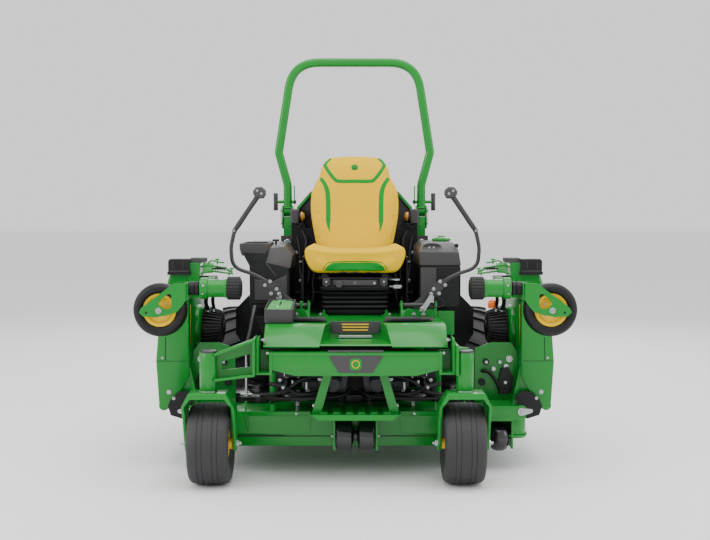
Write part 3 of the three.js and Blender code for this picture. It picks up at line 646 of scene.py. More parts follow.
def seat_cushion():
    """A wide cushion: bolsters higher than its middle, and a front edge that rolls under."""
    rows = []
    half = [(0, 838), (168, 838), (188, 844), (206, 868), (220, 905), (223, 930), (219, 946), (205, 954),
        (188, 952), (160, 941), (110, 932), (50, 929), (0, 928)]
    for y, shrink, drop in ((455, 0.55, 0), (452, 0.8, 0), (456, 0.93, 0), (468, 1, 0), (520, 1, 0),
            (640, 1, 2), (760, 1, 4), (835, 0.97, 4), (846, 0.85, 4)):
        ring = []
        for x, z in half + [(-x, z) for x, z in reversed(half[1:-1])]:
            level = 892 + (z - 892) * shrink
            if y > 700 and z > 925 and abs(x) < 190:
                level -= drop
            across = math.copysign((abs(x) + 6) * (0.96 + 0.04 * shrink), x) if x else 0
            ring.append((across, y, level + (1.6 if z > 892 else -1.6)))
        rows.append(ring)
    obj = piece("seat_cushion_cover", Shape().rings(rows), VINYL, "seat", bevel=0, replaces=["seat_cushion"],
        sharp=math.pi)
    subdivide(obj, 2)
    inflate(obj, 6, 7)
    tree = tree_of(obj)
    patch = []
    for i in range(15):
        t = i / 14
        z = 839 + 41 * t
        wide = 141 - 18 * t - 27 * t ** 4
        patch.append([(wide * (k / 20 - 1), z) for k in range(41)])
    laid_on("seat_front_panel", tree, patch, 0.8)
    seam = Shape()
    for s in (1, -1):
        edge = [(x * s, z) for x, z in ((142, 844), (136, 860), (121, 876), (96, 882), (0, 884))]
        seam.tube(seam_points(tree, edge, 0.6), 1.8, 8, 8)
    piece("seat_front_piping", seam, VINYL_GREEN, "seat", 0)


def seat_back():
    def place(u, v, w):
        """u across, v up the back and w into it."""
        y = BACK_BASE[0] + v * math.sin(BACK_LEAN) + w * math.cos(BACK_LEAN)
        return u, y, BACK_BASE[1] + v * math.cos(BACK_LEAN) - w * math.sin(BACK_LEAN)

    columns = 18
    rings = []
    for half, v in BACK_OUTLINE:
        rise = v / 500
        front, back = [], []
        for k in range(columns + 1):
            t = 2 * k / columns - 1
            edge = abs(t) ** 3
            dish = 10 * (1 - abs(rise - 0.45) * 1.6) * (1 - t * t)
            end = 16 * max(0, (rise - 0.86) / 0.14) ** 2 + 10 * max(0, (0.06 - rise) / 0.06) ** 2
            front.append(place((half + 9) * t, v, 8 + 26 * edge + max(0, dish) + end))
            back.append(place((half + 7) * t, v, 76 - 14 * edge - end))
        rings.append(front + back[::-1])
    obj = piece("seat_back_cover", Shape().rings(rings), VINYL, "seat", bevel=0, replaces=["seat_back"],
        sharp=math.pi)
    subdivide(obj, 1)
    inflate(obj, 6, 7)
    tree = tree_of(obj)

    def stripe_width(t):
        """Millimetres wide at t of the way down, narrow at both ends."""
        return 28 * min(1, 3.2 * (1 - t) + 0.03) * (0.75 + 0.25 * min(1, t * 3))

    limb = [(-104, 1380), (-142, 1342), (-136, 1314), (-96, 1261), (-67, 1252)]
    crown = limb + [(0, 1252)] + [(-x, z) for x, z in reversed(limb)]
    laid_on("headrest_stripe", tree, band_grid(crown, 21), 1.4)
    for side, s in SIDES:
        stripe = [(168, 1270), (144, 1236), (131, 1196), (128, 1138), (127.5, 1071), (126, 1037), (120, 1006)]
        stripe = [(x * s, z) for x, z in stripe]
        laid_on(f"back_stripe_{side}", tree, band_grid(stripe, stripe_width), 1.2)
    seams = Shape()
    for s in (-1, 1):
        edge = [(s * x * 0.93, z) for x, z in ((215, 1180), (205, 1090), (190, 1000), (178, 930))]
        line = seam_points(tree, edge, 0.3)
        if len(line) > 2:
            seams.tube(line, 1.3, 6, 8)
    piece("back_side_seams", seams, VINYL, "seat", 0)
    centre, = seam_points(tree, [(0, 1318)], 0)
    button = Shape().lathe("y", centre, [(0.1, -6), (6, -5.6), (8, -4.2), (11, -4.6), (14, -3.6), (16.5, -1),
        (17, 6)])
    piece("headrest_button", button, GREEN, "seat", 0.4)

    rings = []
    for half, v in ((150, 16), (178, 70), (196, 140), (205, 230), (206, 320), (180, 390), (156, 450),
            (110, 484)):
        rings.append([place((half - 3) * t, v, 74 + 12 * (1 - t * t)) for t in (-1, -0.6, -0.2, 0.2, 0.6, 1)]
            + [place((half - 8) * t, v, 79 + 13 * (1 - t * t)) for t in (1, 0.6, 0.2, -0.2, -0.6, -1)])
    piece("seat_back_shell", Shape().rings(rings), PLASTIC, "seat", 2)


def seat_base():
    piece("seat_tray", Shape().prism("y", ((-150, 829), (150, 829), (176, 838), (-176, 838)), 478, 840),
        PLASTIC, "seat", 2)
    levels = ((152, 478, 802, 18, 752), (156, 474, 806, 18, 764), (156, 474, 806, 18, 770),
        (140, 482, 800, 12, 772), (140, 482, 800, 12, 801))
    housing = Shape().rings([rounded_ring((-half, half), (front, back), r, z)
        for half, front, back, r, z in levels])
    piece("suspension_top", housing, PLASTIC, "seat_carriage", 2)
    detail = Shape()
    for x in (-128, 128):
        detail.box((x - 16, x + 16), (470, 492), (776, 808)).rod("y", (x, 0, 792), 8, 462, 471)
        detail.box((x - 7, x + 7), (466, 474), (771, 786))
    detail.lathe("y", (-71, 0, 781), [(14, 482), (15, 476), (17, 473), (17, 460), (14, 456)], 24)
    detail.box((-96, 96), (472, 484), (776, 800)).rod("y", (0, 0, 786), 5, 468, 473)
    piece("suspension_details", detail, GREY, "seat_carriage")
    marks = Shape().bolt((0, 471, 786), 4).bolt((86, 471, 786), 4)
    marks.bolt((-128, 462, 792), 3.5).bolt((128, 462, 792), 3.5)
    piece("suspension_screws", marks, ZINC, "seat_carriage", 0.3)
    link = Shape().rod("x", (0, 520, 768), 6, 150, 176).rod("x", (0, 520, 800), 5, 150, 188)
    link.box((172, 206), (506, 532), (760, 776)).box((174, 200), (510, 530), (795, 803))
    link.bolt((205, 520, 768), 7, (1, 0, 0))
    piece("suspension_weight_lever", link, ZINC, "seat_carriage", 1)

    bellows = Shape()
    rings = []
    ribs = [(146, 641), (150, 646), (150, 662)]
    for k in range(4):
        z = 666 + k * 21
        ribs += [(140, z), (149, z + 6), (151, z + 10.5), (149, z + 15)]
    ribs += [(142, 751)]
    for half, z in ribs:
        rings.append([(u, v, z) for u, v in rounded_box((-half, half), (645 - half + 4, 645 + half - 6), 22,
            5)])
    bellows.rings(rings)
    boot = piece("suspension_bellows", bellows, RUBBER, "chassis", 0, replaces=["seat_suspension"],
        sharp=math.radians(50))
    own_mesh(boot)
    for side, s in SIDES:
        hook = Shape(s).prism("y", ((126, 641), (154, 641), (149, 652), (141, 668), (136, 668), (133, 652)),
            466, 472)
        hook.box((120, 160), (462, 492), (640.6, 644))
        piece(f"seat_mount_{side}", hook, GREEN, "chassis", 0.8)
        piece(f"seat_mount_nut_{side}", Shape(s).bolt((154, 468, 647), 5), ZINC, "chassis", 0.3)


roll_hoop()
warning_lamps()
seat_cushion()
seat_back()
seat_base()


# ---------- levers, console and tank ----------
def control_levers():
    for side, s in SIDES:
        body = f"control_lever_{side}"
        piece(f"lever_tube_{side}", Shape(s).tube([(334, 414, 744), (361, 414, 764), (396, 414, 801),
            (450, 410, 830), (512, 406, 853), (536, 403, 880), (542, 400, 915), (542, 398, 955),
            (526, 390, 1024), (521, 389, 1031)], 8.5, 14, 5), GREY_PAINT, body, 0, replaces=[body],
            sharp=TUBE_SHARP)
        piece(f"lever_grip_{side}", Shape(s).tube([(526, 390, 1022), (505, 385, 1052), (470, 377, 1103),
            (436, 369, 1152), (414, 364, 1184)], [10, 11.5, 11, 11.5, 12.5], 16, 5), GRIP, body, 1,
            sharp=TUBE_SHARP)
        collar = Shape(s).tube([(529, 391, 1016), (525, 390, 1024)], 11, 14, 1)
        collar.tube([(419, 365, 1177), (415, 364, 1183)], 14, 14, 1)
        head = [(386, 1180), (396, 1161), (420, 1160), (441, 1176), (444, 1192), (430, 1210), (404, 1212),
            (388, 1198)]
        collar.rings([[(415 + (x - 415) * k, y, 1186 + (z - 1186) * k) for x, z in head]
            for y, k in ((350, 0.8), (355, 1), (374, 1), (379, 0.8))])
        piece(f"lever_head_{side}", collar, GREY, body)
        screws = Shape(s).bolt((406, 350, 1182), 4).bolt((424, 350, 1194), 4).bolt((527, 381, 1021), 3.5)
        clamp = Shape(s)
        outline = [(322, 740), (338, 728), (352, 733), (398, 778), (399, 794), (386, 808), (368, 806),
            (340, 772)]
        clamp.prism("y", outline, 399, 404)
        piece(f"lever_clamp_{side}", clamp, GREY_PAINT, body, 1)
        for x, z in ((373, 798), (345, 765), (396, 782), (369, 745)):
            screws.bolt((x, 399, z), 5.5)
        piece(f"lever_screws_{side}", screws, ZINC, body, 0.4)
        block = Shape(s).box((322, 346), (400, 428), (704, 738)).rod("y", (334, 0, 744), 7, 396, 432)
        block.bolt((334, 396, 744), 6)
        piece(f"lever_link_block_{side}", block, ZINC, f"lever_base_{side}", 1)
    link = Shape().prism("y", ((277, 670), (304, 670), (343, 736), (328, 746)), 350, 355)
    link.bolt((292, 350, 683), 7).rod("y", (331, 0, 737), 4.5, 355, 397)
    piece("lever_link_plate", link, ZINC, "lever_base_left", 1)
    cable = Shape().tube([(346, 388, 742), (366, 380, 728), (388, 372, 706), (380, 368, 692), (350, 368, 686),
        (300, 370, 684), (255, 374, 682)], 2.8, 8)
    cable = piece("switch_cable", cable, PLASTIC, None, 0, sharp=math.radians(70))
    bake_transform(cable)


def side_console():
    s = -1
    body = Shape(s).hull([(x, y, z) for y, g in ((524, 4), (532, 0), (1006, 0)) for x, z in ((294 + g, 690),
        (474 - g, 690), (476 - g, 870), (400, 876), (358, 820), (294 + g, 850))])
    body.box((302, 470), (536, 1000), (668, 692))
    piece("console_body", body, PLASTIC, "chassis", 4, replaces=["side_console"])
    piece("console_funnel", Shape(s).hull([(476, 524, 862), (402, 524, 868), (514, 522, 934), (484, 520, 906),
        (404, 520, 902), (388, 524, 930), (476, 1000, 862), (402, 1000, 868), (516, 1000, 934),
        (388, 1000, 934)]), PLASTIC, "chassis", 3)
    piece("console_facet", Shape(s).hull([(388, 560, 940), (322, 600, 945), (284, 600, 905), (357, 522, 812),
        (403, 522, 874), (391, 540, 908), (388, 1004, 958), (322, 1004, 958), (288, 1004, 905),
        (292, 1004, 830), (403, 1004, 830), (292, 560, 850)]), GREY, "chassis", 4)
    tray = Shape(s)
    outer = rounded_box((386, 520), (518, 860), 16)
    inner = rounded_box((396, 510), (528, 850), 12)
    tray.rings([[(x, y, 906) for x, y in rounded_box((396, 510), (524, 852), 12)], [(x, y, 936)
        for x, y in outer], [(x, y, 962) for x, y in outer], [(x, y, 962) for x, y in inner], [(x, y, 918)
        for x, y in inner]])
    tray.box((400, 500), (860, 1004), (906, 962))
    piece("console_tray", tray, GREY, "chassis", 2.5)
    piece("console_knob", Shape(s).rod("z", (368, 720, 0), 5, 950, 972).box((352, 384), (713, 727),
        (966, 976)), PLASTIC, "chassis", 2)
    piece("console_panel", Shape(s).prism("y", ((306, 706), (452, 706), (452, 800), (372, 790), (306, 820)),
        519, 525), GREY, "chassis", 3)

    boot_box = Shape(s)
    def loop(g, z_front, z_back):
        return [(x, y, z_front + (z_back - z_front) * (y - 110) / 270)
            for x, y in rounded_box((258 + g, 378 - g), (110 + g, 380 - g), 12)]
    boot_box.rings([loop(3, 641, 641), loop(0, 652, 652), loop(0, 700, 722), loop(7, 700, 722),
        loop(7, 664, 664)])
    piece("lever_boot_box", boot_box, GREY, "chassis", 2)
    boot = Shape(s)
    rings = []
    for g, z in ((10, 664), (10, 700), (20, 706), (34, 704), (44, 712), (54, 708)):
        rings.append([(x, y, z + (y - 110) * 0.045) for x, y in rounded_box((258 + g, 378 - g),
            (110 + g, 380 - g), 10)])
    boot.rings(rings)
    piece("lever_boot", boot, BOOT, "chassis", 2)


def fuel_tank():
    piece("tank_lower", Shape().hull([(x, y, z) for y, g in ((521, 6), (530, 0), (1004, 0))
        for x, z in ((290 + g, 672), (462, 672), (476 - g, 700), (476 - g, 856), (290 + g, 856))]), PLASTIC,
        "chassis", 5, replaces=["fuel_tank"])
    piece("tank_front_panel", Shape().hull([(296, 516, 706), (362, 514, 712), (366, 514, 852),
        (294, 516, 852), (296, 540, 706), (366, 540, 706), (366, 540, 852), (294, 540, 852)]), GREY,
        "chassis", 3)
    piece("tank_upper", Shape().hull([(289, 518, 862), (478, 520, 862), (288, 524, 926), (372, 516, 924),
        (468, 526, 922), (306, 600, 962), (452, 600, 962), (289, 1004, 862), (478, 1004, 862),
        (290, 1004, 940), (470, 1004, 940), (312, 1004, 964), (456, 1004, 964)]), GREY, "chassis", 5)
    piece("tank_seam", Shape().rings([rounded_ring((291, 474), (524, 1000), 12, 855), rounded_ring((291, 474),
        (524, 1000), 12, 864)]), RUBBER, "chassis", 0)
    tilt = Matrix.Rotation(math.radians(62), 3, "X")
    # the cup is drawn flat: the black disc inside the rim is painted shade standing for the cup's hollow
    for outer, inner, h0, h1, name, material in ((46, 38, -4, 3, "tank_cup_rim", GREY), (38, 0.2, -3, 0.6,
            "tank_cup", RUBBER)):
        cup = Shape()
        loops = []
        for r, h in ((outer, h0), (outer, h1), (inner, h1), (inner, h0)):
            ring = []
            for k in range(36):
                a = 2 * math.pi * k / 36
                spot = tilt @ Vector((r * math.cos(a), r * 0.42 * math.sin(a), h))
                ring.append((348 + spot.x, 562 + spot.y * 0.9, 944 + spot.z))
            loops.append(ring)
        cup.rings(loops, caps=False)
        piece(name, cup, material, "chassis", 0)
    marks = Shape()
    for x in (336, 356):
        marks.rings([[(x - 4, 548, 930), (x + 4, 548, 930), (x + 4, 552, 946), (x - 4, 552, 946)],
            [(x - 4, 556, 930), (x + 4, 556, 930), (x + 4, 560, 946), (x - 4, 560, 946)]])
    piece("tank_cup_posts", marks, ZINC, "chassis", 0.8)
    knobs = Shape()
    for z in (926, 950):
        knobs.lathe("x", (0, 580, z), [(6, 452), (10, 458), (10, 468), (7, 470)], 20)
    piece("tank_knobs", knobs, PLASTIC, "chassis", 1)
    piece("tank_neck", Shape().lathe("z", (414, 850, 0), [(36, 960), (38, 962), (38, 966)], 36), PLASTIC,
        "chassis", 1)
    lid = Shape()
    rings = []
    turns = [2 * math.pi * k / 96 for k in range(96)]
    for r, z, flute in ((40, 965, 0), (43.5, 966, 1.6), (43.5, 974, 1.6), (38, 979, 0.6), (24, 983, 0),
            (12, 985, 0)):
        rings.append([(414 + (r + flute * math.cos(16 * a)) * math.cos(a), 850 + (r
            + flute * math.cos(16 * a)) * math.sin(a), z) for a in turns])
    lid.rings(rings).box((398, 430), (844, 856), (980, 990))
    piece("tank_cap", lid, GREEN, "chassis", 1)


# ---------- behind the seat ----------
def behind_seat():
    for side, s in SIDES:
        piece(f"hoop_heel_{side}", Shape(s).prism("x", [(1175, 1128)] + [(1125, 1128)]
            + arc(1150, 1110, 29.4, 180, 360, 12), 317, 355), GREEN, "rops", 1)
        rim = Shape(s)
        rim.prism("y", ((206, 1206), (220, 1206), (290, 1126), (290, 1080), (276, 1080), (276, 1120),
            (214, 1192), (206, 1192)), 1120, 1129)
        piece(f"hood_rim_{side}", rim, GREEN, "chassis")
        wall = Shape(s).prism("y", ((120, 642), (315, 642), (315, 1040), (300, 1075), (262, 1075),
            (240, 1020), (120, 1020)), 1100, 1106)
        wall.box((150, 314), (1010, 1104), (700, 706)).box((232, 240), (560, 1102), (642, 900))
        piece(f"bulkhead_{side}", wall, BLACK, "chassis")
        hoses = Shape(s)
        runs = (
            (8, ((262, 1096, 1010), (240, 1080, 960), (246, 1060, 880), (226, 1030, 800), (240, 960, 720),
                (220, 860, 660))),
            (6, ((286, 1096, 980), (272, 1070, 900), (270, 1050, 820), (256, 1000, 740), (262, 900, 665))),
            (7, ((180, 1090, 900), (196, 1040, 820), (206, 960, 760), (200, 880, 700), (210, 820, 655))),
        )
        for r, run in runs:
            hoses.tube(run, r, 10)
        piece(f"rear_hoses_{side}", hoses, RUBBER, "chassis", 0, sharp=TUBE_SHARP)
        clamps = Shape(s).bolt((206, 1099, 700), 7).bolt((272, 1099, 760), 6)
        clamps.bolt((212, 1099, 930), 6).bolt((292, 1099, 900), 6)
        clamps.box((196, 216), (1090, 1100), (818, 828)).box((262, 276), (1046, 1060), (852, 860))
        piece(f"rear_fasteners_{side}", clamps, ZINC, "chassis", 0.4)
        piece(f"post_guard_{side}", Shape(s).prism("y", ((300, 640), (372, 640), (372, 860), (360, 880),
            (304, 880)), 1112, 1118), BLACK, "chassis")


# ---------- floor and beam ----------
def floor_and_beam():
    piece("floor_panel", Shape().prism("y", ((-98, 592), (98, 592), (113, 643), (-113, 643)), 189, 195), GREY,
        "chassis", 2)
    ribs = Shape()
    for k in range(3):
        z = 606 + k * 12
        ribs.rings([[(x, y, t) for x, t in ((-52 - k * 2, z - 2.5), (52 + k * 2, z - 2.5),
            (54 + k * 2, z + 2.5), (-54 - k * 2, z + 2.5))] for y in (187, 190)])
    piece("floor_panel_ribs", ribs, YELLOW, "chassis", 0.6)
    piece("floor_side_panel", Shape().box((362, 438), (420, 426), (560, 664)).box((362, 438), (426, 466),
        (658, 664)), GREEN, "chassis", 2)
    piece("recess_strip", Shape().prism("y", ((-74, 575), (74, 575), (68, 586), (-68, 586)), 166, 188), STEEL,
        "chassis", 2)
    for side, s in SIDES:
        hose = Shape(s)
        for k in range(22):
            x = 148 + k * 5.9
            hose.lathe("x", (0, 168 + k * 0.8, 648), [(7.5, x), (9.5, x + 1.5), (9.5, x + 4), (7.5, x + 5.8)],
                16)
        hose.tube([(150, 168, 648), (138, 168, 647), (126, 172, 640), (122, 180, 628)], 9, 12, 5)
        hose.tube([(276, 186, 648), (292, 190, 648), (306, 200, 646), (318, 214, 640)], 8, 12, 5)
        piece(f"harness_sleeve_{side}", hose, RUBBER, "chassis", 0.8, sharp=math.radians(50))
        piece(f"lever_bracket_{side}", Shape(s).prism("y", ((204, 641), (352, 641), (352, 676), (246, 676),
            (232, 682), (222, 676)), 376, 382), GREEN, "chassis", 1)
        piece(f"lever_bracket_bolts_{side}", Shape(s).bolt((257, 376, 655), 6.5).bolt((298, 376, 655), 6.5),
            ZINC, "chassis", 0.4)
        piece(f"floor_mat_{side}", Shape(s).rings([[(x, y, z) for x, y, z in ((128, 232, 640.5),
            (340, 232, 640.5), (340, 372, 640.5), (128, 372, 640.5))], [(131, 235, 645), (337, 235, 645),
            (337, 369, 645), (131, 369, 645)]]), MAT, "chassis", 1)
    hook = Shape(-1).tube([(236, 384, 676), (236, 384, 700), (230, 384, 708), (242, 384, 708)], 4, 8, 4)
    hook.box((224, 248), (382, 388), (694, 700))
    piece("latch_hook", hook, GREEN, "chassis", 0.6)

    piece("beam_panel", Shape().prism("y", ((-68, 463), (68, 463), (108, 531), (-108, 531)), -79, -75.2),
        GREY, "chassis", 1)
    button = Shape()
    rings = []
    for g, y in ((0, -78), (0, -80.5), (2.5, -81.5), (5, -80.2), (9, -80.2)):
        rings.append([(x, y, z) for x, z in rounded_box((-24 + g, 24 - g), (473 + g, 521 - g), 13 - g * 0.7)])
    button.rings(rings).lathe("y", (0, 0, 497), [(9, -83), (12, -82.2), (12, -79)], 28)
    piece("beam_button", button, GREEN, "chassis", 0.4)
    piece("beam_button_ring", Shape().lathe("y", (0, 0, 497), [(13, -80), (13.4, -82), (16, -82),
        (16.4, -80)], ring=True), YELLOW, "chassis", 0.2)
    piece("beam_top_mat", Shape().box((-112, 112), (-72, 12), (543.4, 548)), MAT, "chassis", 1.2)
    seam = Shape()
    for side, s in SIDES:
        piece(f"beam_bolts_{side}", Shape(s).bolt((370, -40, 590), 7, (0, -0.4, 1)).bolt((352, -62, 540), 4),
            ZINC, "chassis", 0.4)
    seam.tube([(-332, -76, 534), (332, -76, 534)], 1.6, 6, 2)
    seam.tube([(-250, -76, 470), (-332, -76, 486)], 1.6, 6, 2).tube([(250, -76, 470), (332, -76, 486)], 1.6,
        6, 2)
    piece("beam_weld_lines", seam, GREEN, "chassis", 0)


control_levers()
side_console()
fuel_tank()
behind_seat()
floor_and_beam()


# ---------- wing decks ----------
def fluted(shape, axis_centre, low, high, r, flutes, depth):
    """A knurled cap turned about a line along x."""
    y, z = axis_centre
    count = flutes * 4
    rings = []
    for x, inset in ((low, 5), (low + 3, 0), (high - 2, 0), (high, 2)):
        ring = []
        for k in range(count):
            a = 2 * math.pi * k / count
            out = r - inset - (depth if k % 4 < 2 else 0)
            ring.append((x, y + out * math.cos(a), z + out * math.sin(a)))
        rings.append(ring)
    return shape.rings(rings)


def gauge_arm(side, s):
    body, (y, z) = f"wing_{side}", ARM_AXIS
    arm = Shape(s).lathe("x", (0, y, z), [(34, 524), (40, 526), (40, 534), (37, 536), (37, 604), (43, 606),
        (44, 608), (44, 634), (40, 637), (30, 637)], 36)
    arm.prism("x", rounded_box((y, 425), (z - 33, z + 33), 10), 606, 634)
    arm.box((606, 722.7), (345, 425), (z - 33, z + 33))
    arm.hull([(634, 425, z - 33), (634, 425, z + 33), (722, 425, z + 33), (634, 345, z - 60),
        (722, 345, z - 60), (634, 345, z + 33), (722, 345, z + 33), (722, 425, z - 33)])
    piece(f"gauge_arm_{side}", arm, GREEN, body, replaces=[f"wing_arm_{side}"])
    cap = fluted(Shape(s), (y, z), 471, 525, 48, 22, 2.2)
    cap.lathe("x", (0, y, z), [(30, 466), (36, 468), (36, 474)], 28)
    piece(f"gauge_cap_{side}", cap, PLASTIC, body, 0.6)
    grease = Shape(s).rod("z", (566, y, 0), 4, z + 36, z + 46, 10).rod("y", (622, 0, z - 20), 3.5, 30, 40, 10)
    grease.bolt((620, 36, z + 14), 4)
    piece(f"gauge_nipple_{side}", grease, ZINC, body, 0.3)


def gauge_wheel(side, s):
    y, z = ARM_AXIS
    outer = [(683, 815), (738, 813), (872, 712), (879, 694), (862, 678), (812, 675), (750, 687), (722, 699),
        (703, 722), (684, 750)]
    inner = [(748, 768), (762, 770), (786, 748), (799, 731), (794, 720), (782, 713), (768, 709), (756, 710),
        (748, 718), (746, 735)]
    fork = Shape(s)
    for low, high in ((24, 30), (130, 136)):
        fork.rings([[(u, t, v) for u, v in loop] for loop, t in ((outer, low), (outer, high), (inner, high),
            (inner, low), (outer, low))], caps=False)
    fork.box((681, 689), (24, 136), (744, 814))
    fork.lathe("x", (0, y, z), [(15, 530), (15, 640), (24, 642), (24, 654)], 24)
    fork.hull([(u, v, t) for u, v, t in ((689, 30, 812), (689, 130, 812), (704, 30, 812), (689, 30, 750),
        (689, 130, 750), (704, 130, 812))])
    body = f"wing_caster_{side}"
    piece(f"gauge_fork_{side}", fork, GREEN, body, 1.2, replaces=[f"wing_fork_{side}"])
    piece(f"gauge_spacers_{side}", Shape(s).lathe("x", (0, y, z), [(26, 641), (29, 643), (29, 655), (25, 657),
        (25, 659), (28, 661), (28, 680)]), PLASTIC, body, 0.8)
    piece(f"gauge_axle_{side}", Shape(s).rod("y", (800, 0, 702), 8, 18, 142).bolt((800, 24, 702),
        9).bolt((800, 136, 702), 9, (0, 1, 0)), ZINC, body, 0.4)
    # painted shade: a black disc stands for the dark inside of the fork's spare hole
    piece(f"gauge_spare_hole_shade_{side}", Shape(s).lathe("y", (850, 0, 694), [(5, 23.2), (5, 24.6)], 16), RUBBER,
        body, 0)

    tyre = Shape(s)
    half = [(68, 26), (72, 33), (84, 38), (96, 37), (105, 29), (109, 17), (110, 6)]
    tyre.lathe("y", GAUGE_WHEEL, two_sided(half), 64, ring=True)
    wheel = f"wing_wheel_{side}"
    piece(f"gauge_tyre_{side}", tyre, RUBBER, wheel, 0, replaces=[wheel],
        sharp=TUBE_SHARP)
    rim = Shape(s)
    half = [(12, 36), (21, 36), (23, 22), (34, 16), (48, 15), (53, 20), (55, 28), (66, 31), (69, 27)]
    rim.lathe("y", GAUGE_WHEEL, two_sided(half), 48, ring=True)
    piece(f"gauge_rim_{side}", rim, YELLOW, wheel, 0.8)
    dots = Shape(s)
    for k in range(4):
        a = math.pi / 4 + k * math.pi / 2
        dots.bolt((800 + 34 * math.cos(a), 80 - 16, 702 + 34 * math.sin(a)), 4, washer=False)
    dots.lathe("y", GAUGE_WHEEL, [(11.5, -40), (13, -38), (13, -30)], 20)
    piece(f"gauge_hub_{side}", dots, ZINC, wheel, 0.3)


def wing_drive(side, s):
    body, (y, z) = f"wing_{side}", WING_DRIVE_AXIS
    cover = Shape(s).lathe("x", (0, y, z), [(30, 600), (60, 602), (68, 608), (86, 688), (86, 692), (60, 694)],
        48)
    cover.lathe("x", (0, y, z), [(20, 594), (26, 596), (28, 602)], 24)
    piece(f"drive_cover_{side}", cover, PLASTIC, body, 1.5,
        replaces=[f"wing_motor_{side}"])
    piece(f"drive_base_{side}", Shape(s).lathe("x", (0, y, z), [(50, 692), (84, 694), (100, 704), (102, 708),
        (102, 722.7)], 48), GREEN, body)
    fins = Shape(s)
    for k in range(36):
        a = 2 * math.pi * k / 36
        rings = []
        for turn in (-0.018, 0.018):
            c, d = math.cos(a + turn), math.sin(a + turn)
            rings.append([(x, y + r * c, z + r * d) for x, r in ((602, 40), (602, 66), (612, 76), (676, 97),
                (690, 92), (690, 80), (610, 56))])
        fins.rings(rings)
    piece(f"drive_fins_{side}", fins, GREY, body, 0)
    hoses = Shape(s).tube([(664, 540, 660), (668, 500, 700), (656, 470, 740), (640, 450, 752)], 9)
    hoses.tube([(640, 560, 666), (640, 520, 700), (632, 470, 730), (622, 440, 756)], 8)
    piece(f"wing_hoses_{side}", hoses, RUBBER, body, 0, sharp=TUBE_SHARP)
    fittings = Shape(s).rod("z", (664, 540, 0), 11, 652, 672).rod("z", (640, 560, 0), 10, 650, 668)
    fittings.bolt((668, 396, 746), 6).bolt((684, 430, 452), 10)
    fittings.rod("y", (668, 0, 420), 12, 416, 440).rod("y", (640, 0, 440), 8, 410, 430)
    piece(f"wing_fittings_{side}", fittings, ZINC, body, 0.4)
    if side == "left":
        piece("drive_fill_cap", Shape().lathe("z", (622, 552, 0), [(17, 668), (19, 674), (19, 690), (15, 700),
            (8, 706)], 24), ORANGE, body, 1)


def wing_trim(side, s):
    body = f"wing_{side}"
    box = Shape(s).slab(((714, 838), (806, 838), (806, 890), (800, 900), (718, 900), (714, 892)), 310, 380)
    box.slab(((710, 832), (809, 832), (809, 846), (710, 846)), 306, 380)
    piece(f"end_box_{side}", box, PLASTIC, body, 2.5)
    piece(f"end_box_recess_{side}", Shape(s).prism("y", ((746, 862), (752, 884), (760, 884), (762, 874),
        (768, 874), (772, 886), (780, 882), (776, 862)), 308.8, 311), RUBBER, body, 0)
    rim = Shape(s).tube([(716, 308, 848), (804, 308, 848)], 1.8, 6, 2).tube([(742, 309, 858),
        (742, 309, 888)], 1.3, 6, 2)
    rim.tube([(784, 309, 858), (784, 309, 888)], 1.3, 6, 2)
    piece(f"end_box_rim_{side}", rim, GREY, body, 0)
    piece(f"edge_strip_{side}", Shape(s).box((650, 712), (330, 420), (884, 904)), GREY, body, 2)
    bracket = Shape(s).prism("y", ((672, 760), (722, 760), (722, 884), (676, 884), (668, 876), (672, 840)),
        326, 332)
    bracket.box((672, 722), (332, 430), (876, 884)).box((716, 722), (332, 430), (760, 884))
    bracket.slab(((722, 836), (796, 830), (806, 780), (722, 700)), 331, 336)
    piece(f"wing_bracket_{side}", bracket, GREEN, body)
    # the stop block's paler green is a painted reflection
    piece(f"stop_block_{side}", Shape(s).prism("y", rounded_box((618, 662), (838, 882), 6), 345, 400), GREEN_SHEEN,
        body, 2)
    rods = Shape(s).tube([(668, 340, 866), (640, 334, 872), (600, 330, 868), (572, 330, 862), (540, 330, 848),
        (530, 330, 846)], 4, 8, 5)
    rods.tube([(668, 336, 836), (620, 332, 846), (560, 328, 840), (528, 328, 836)], 4, 8, 5)
    rods.tube([(640, 350, 880), (620, 340, 892), (590, 330, 886), (566, 330, 884)], 3.5, 8, 5)
    for x, z in ((596, 886), (534, 846), (545, 838)):
        rods.rod("z", (x, 330, 0), 3, z - 10, z + 16, 10).rod("x", (0, 330, z + 12), 3, x - 10, x + 10, 10)
    piece(f"latch_rods_{side}", rods, GREEN, body, 0, sharp=TUBE_SHARP)
    spring = Shape(s)
    coil = [(560 + k * 1.1, 332 + 8 * math.cos(k * 0.9), 858 + 8 * math.sin(k * 0.9)) for k in range(44)]
    spring.tube(coil, 1.8, 6, 2).rod("x", (0, 332, 858), 4, 552, 618, 10)
    piece(f"latch_spring_{side}", spring, PLASTIC, body, 0, sharp=TUBE_SHARP)
    piece(f"flap_{side}", Shape(s).prism("y", ((690, 300), (722, 330), (770, 322), (800, 290), (812, 262),
        (800, 222), (748, 206), (724, 214), (735, 240), (716, 262)), 312, 320), RUBBER, "deck")
    piece(f"flap_bolt_{side}", Shape(s).bolt((786, 312, 296), 5), ZINC, "deck", 0.4)
    piece(f"wing_bolts_{side}", Shape(s).bolt((809, 328.5, 321), 7).bolt((700, 331, 820),
        5).bolt((836, 329, 470), 4), ZINC, body, 0.4)
    seams = Shape(s).tube([(822, 329.6, 560), (824, 329.6, 468), (821, 329.6, 462)], 1.4, 6, 3)
    seams.tube([(734, 329.8, 456), (862, 329.8, 456)], 1.2, 6, 2)
    piece(f"wing_seams_{side}", seams, BLACK, body, 0)
    piece(f"wing_stripe_{side}", Shape(s).hull([(722.4, 372, z) for z in (520,)] + [(719.6, 360, 700),
        (719.6, 384, 700), (719.6, 366, 520), (721, 378, 520)]), YELLOW, body, 0)


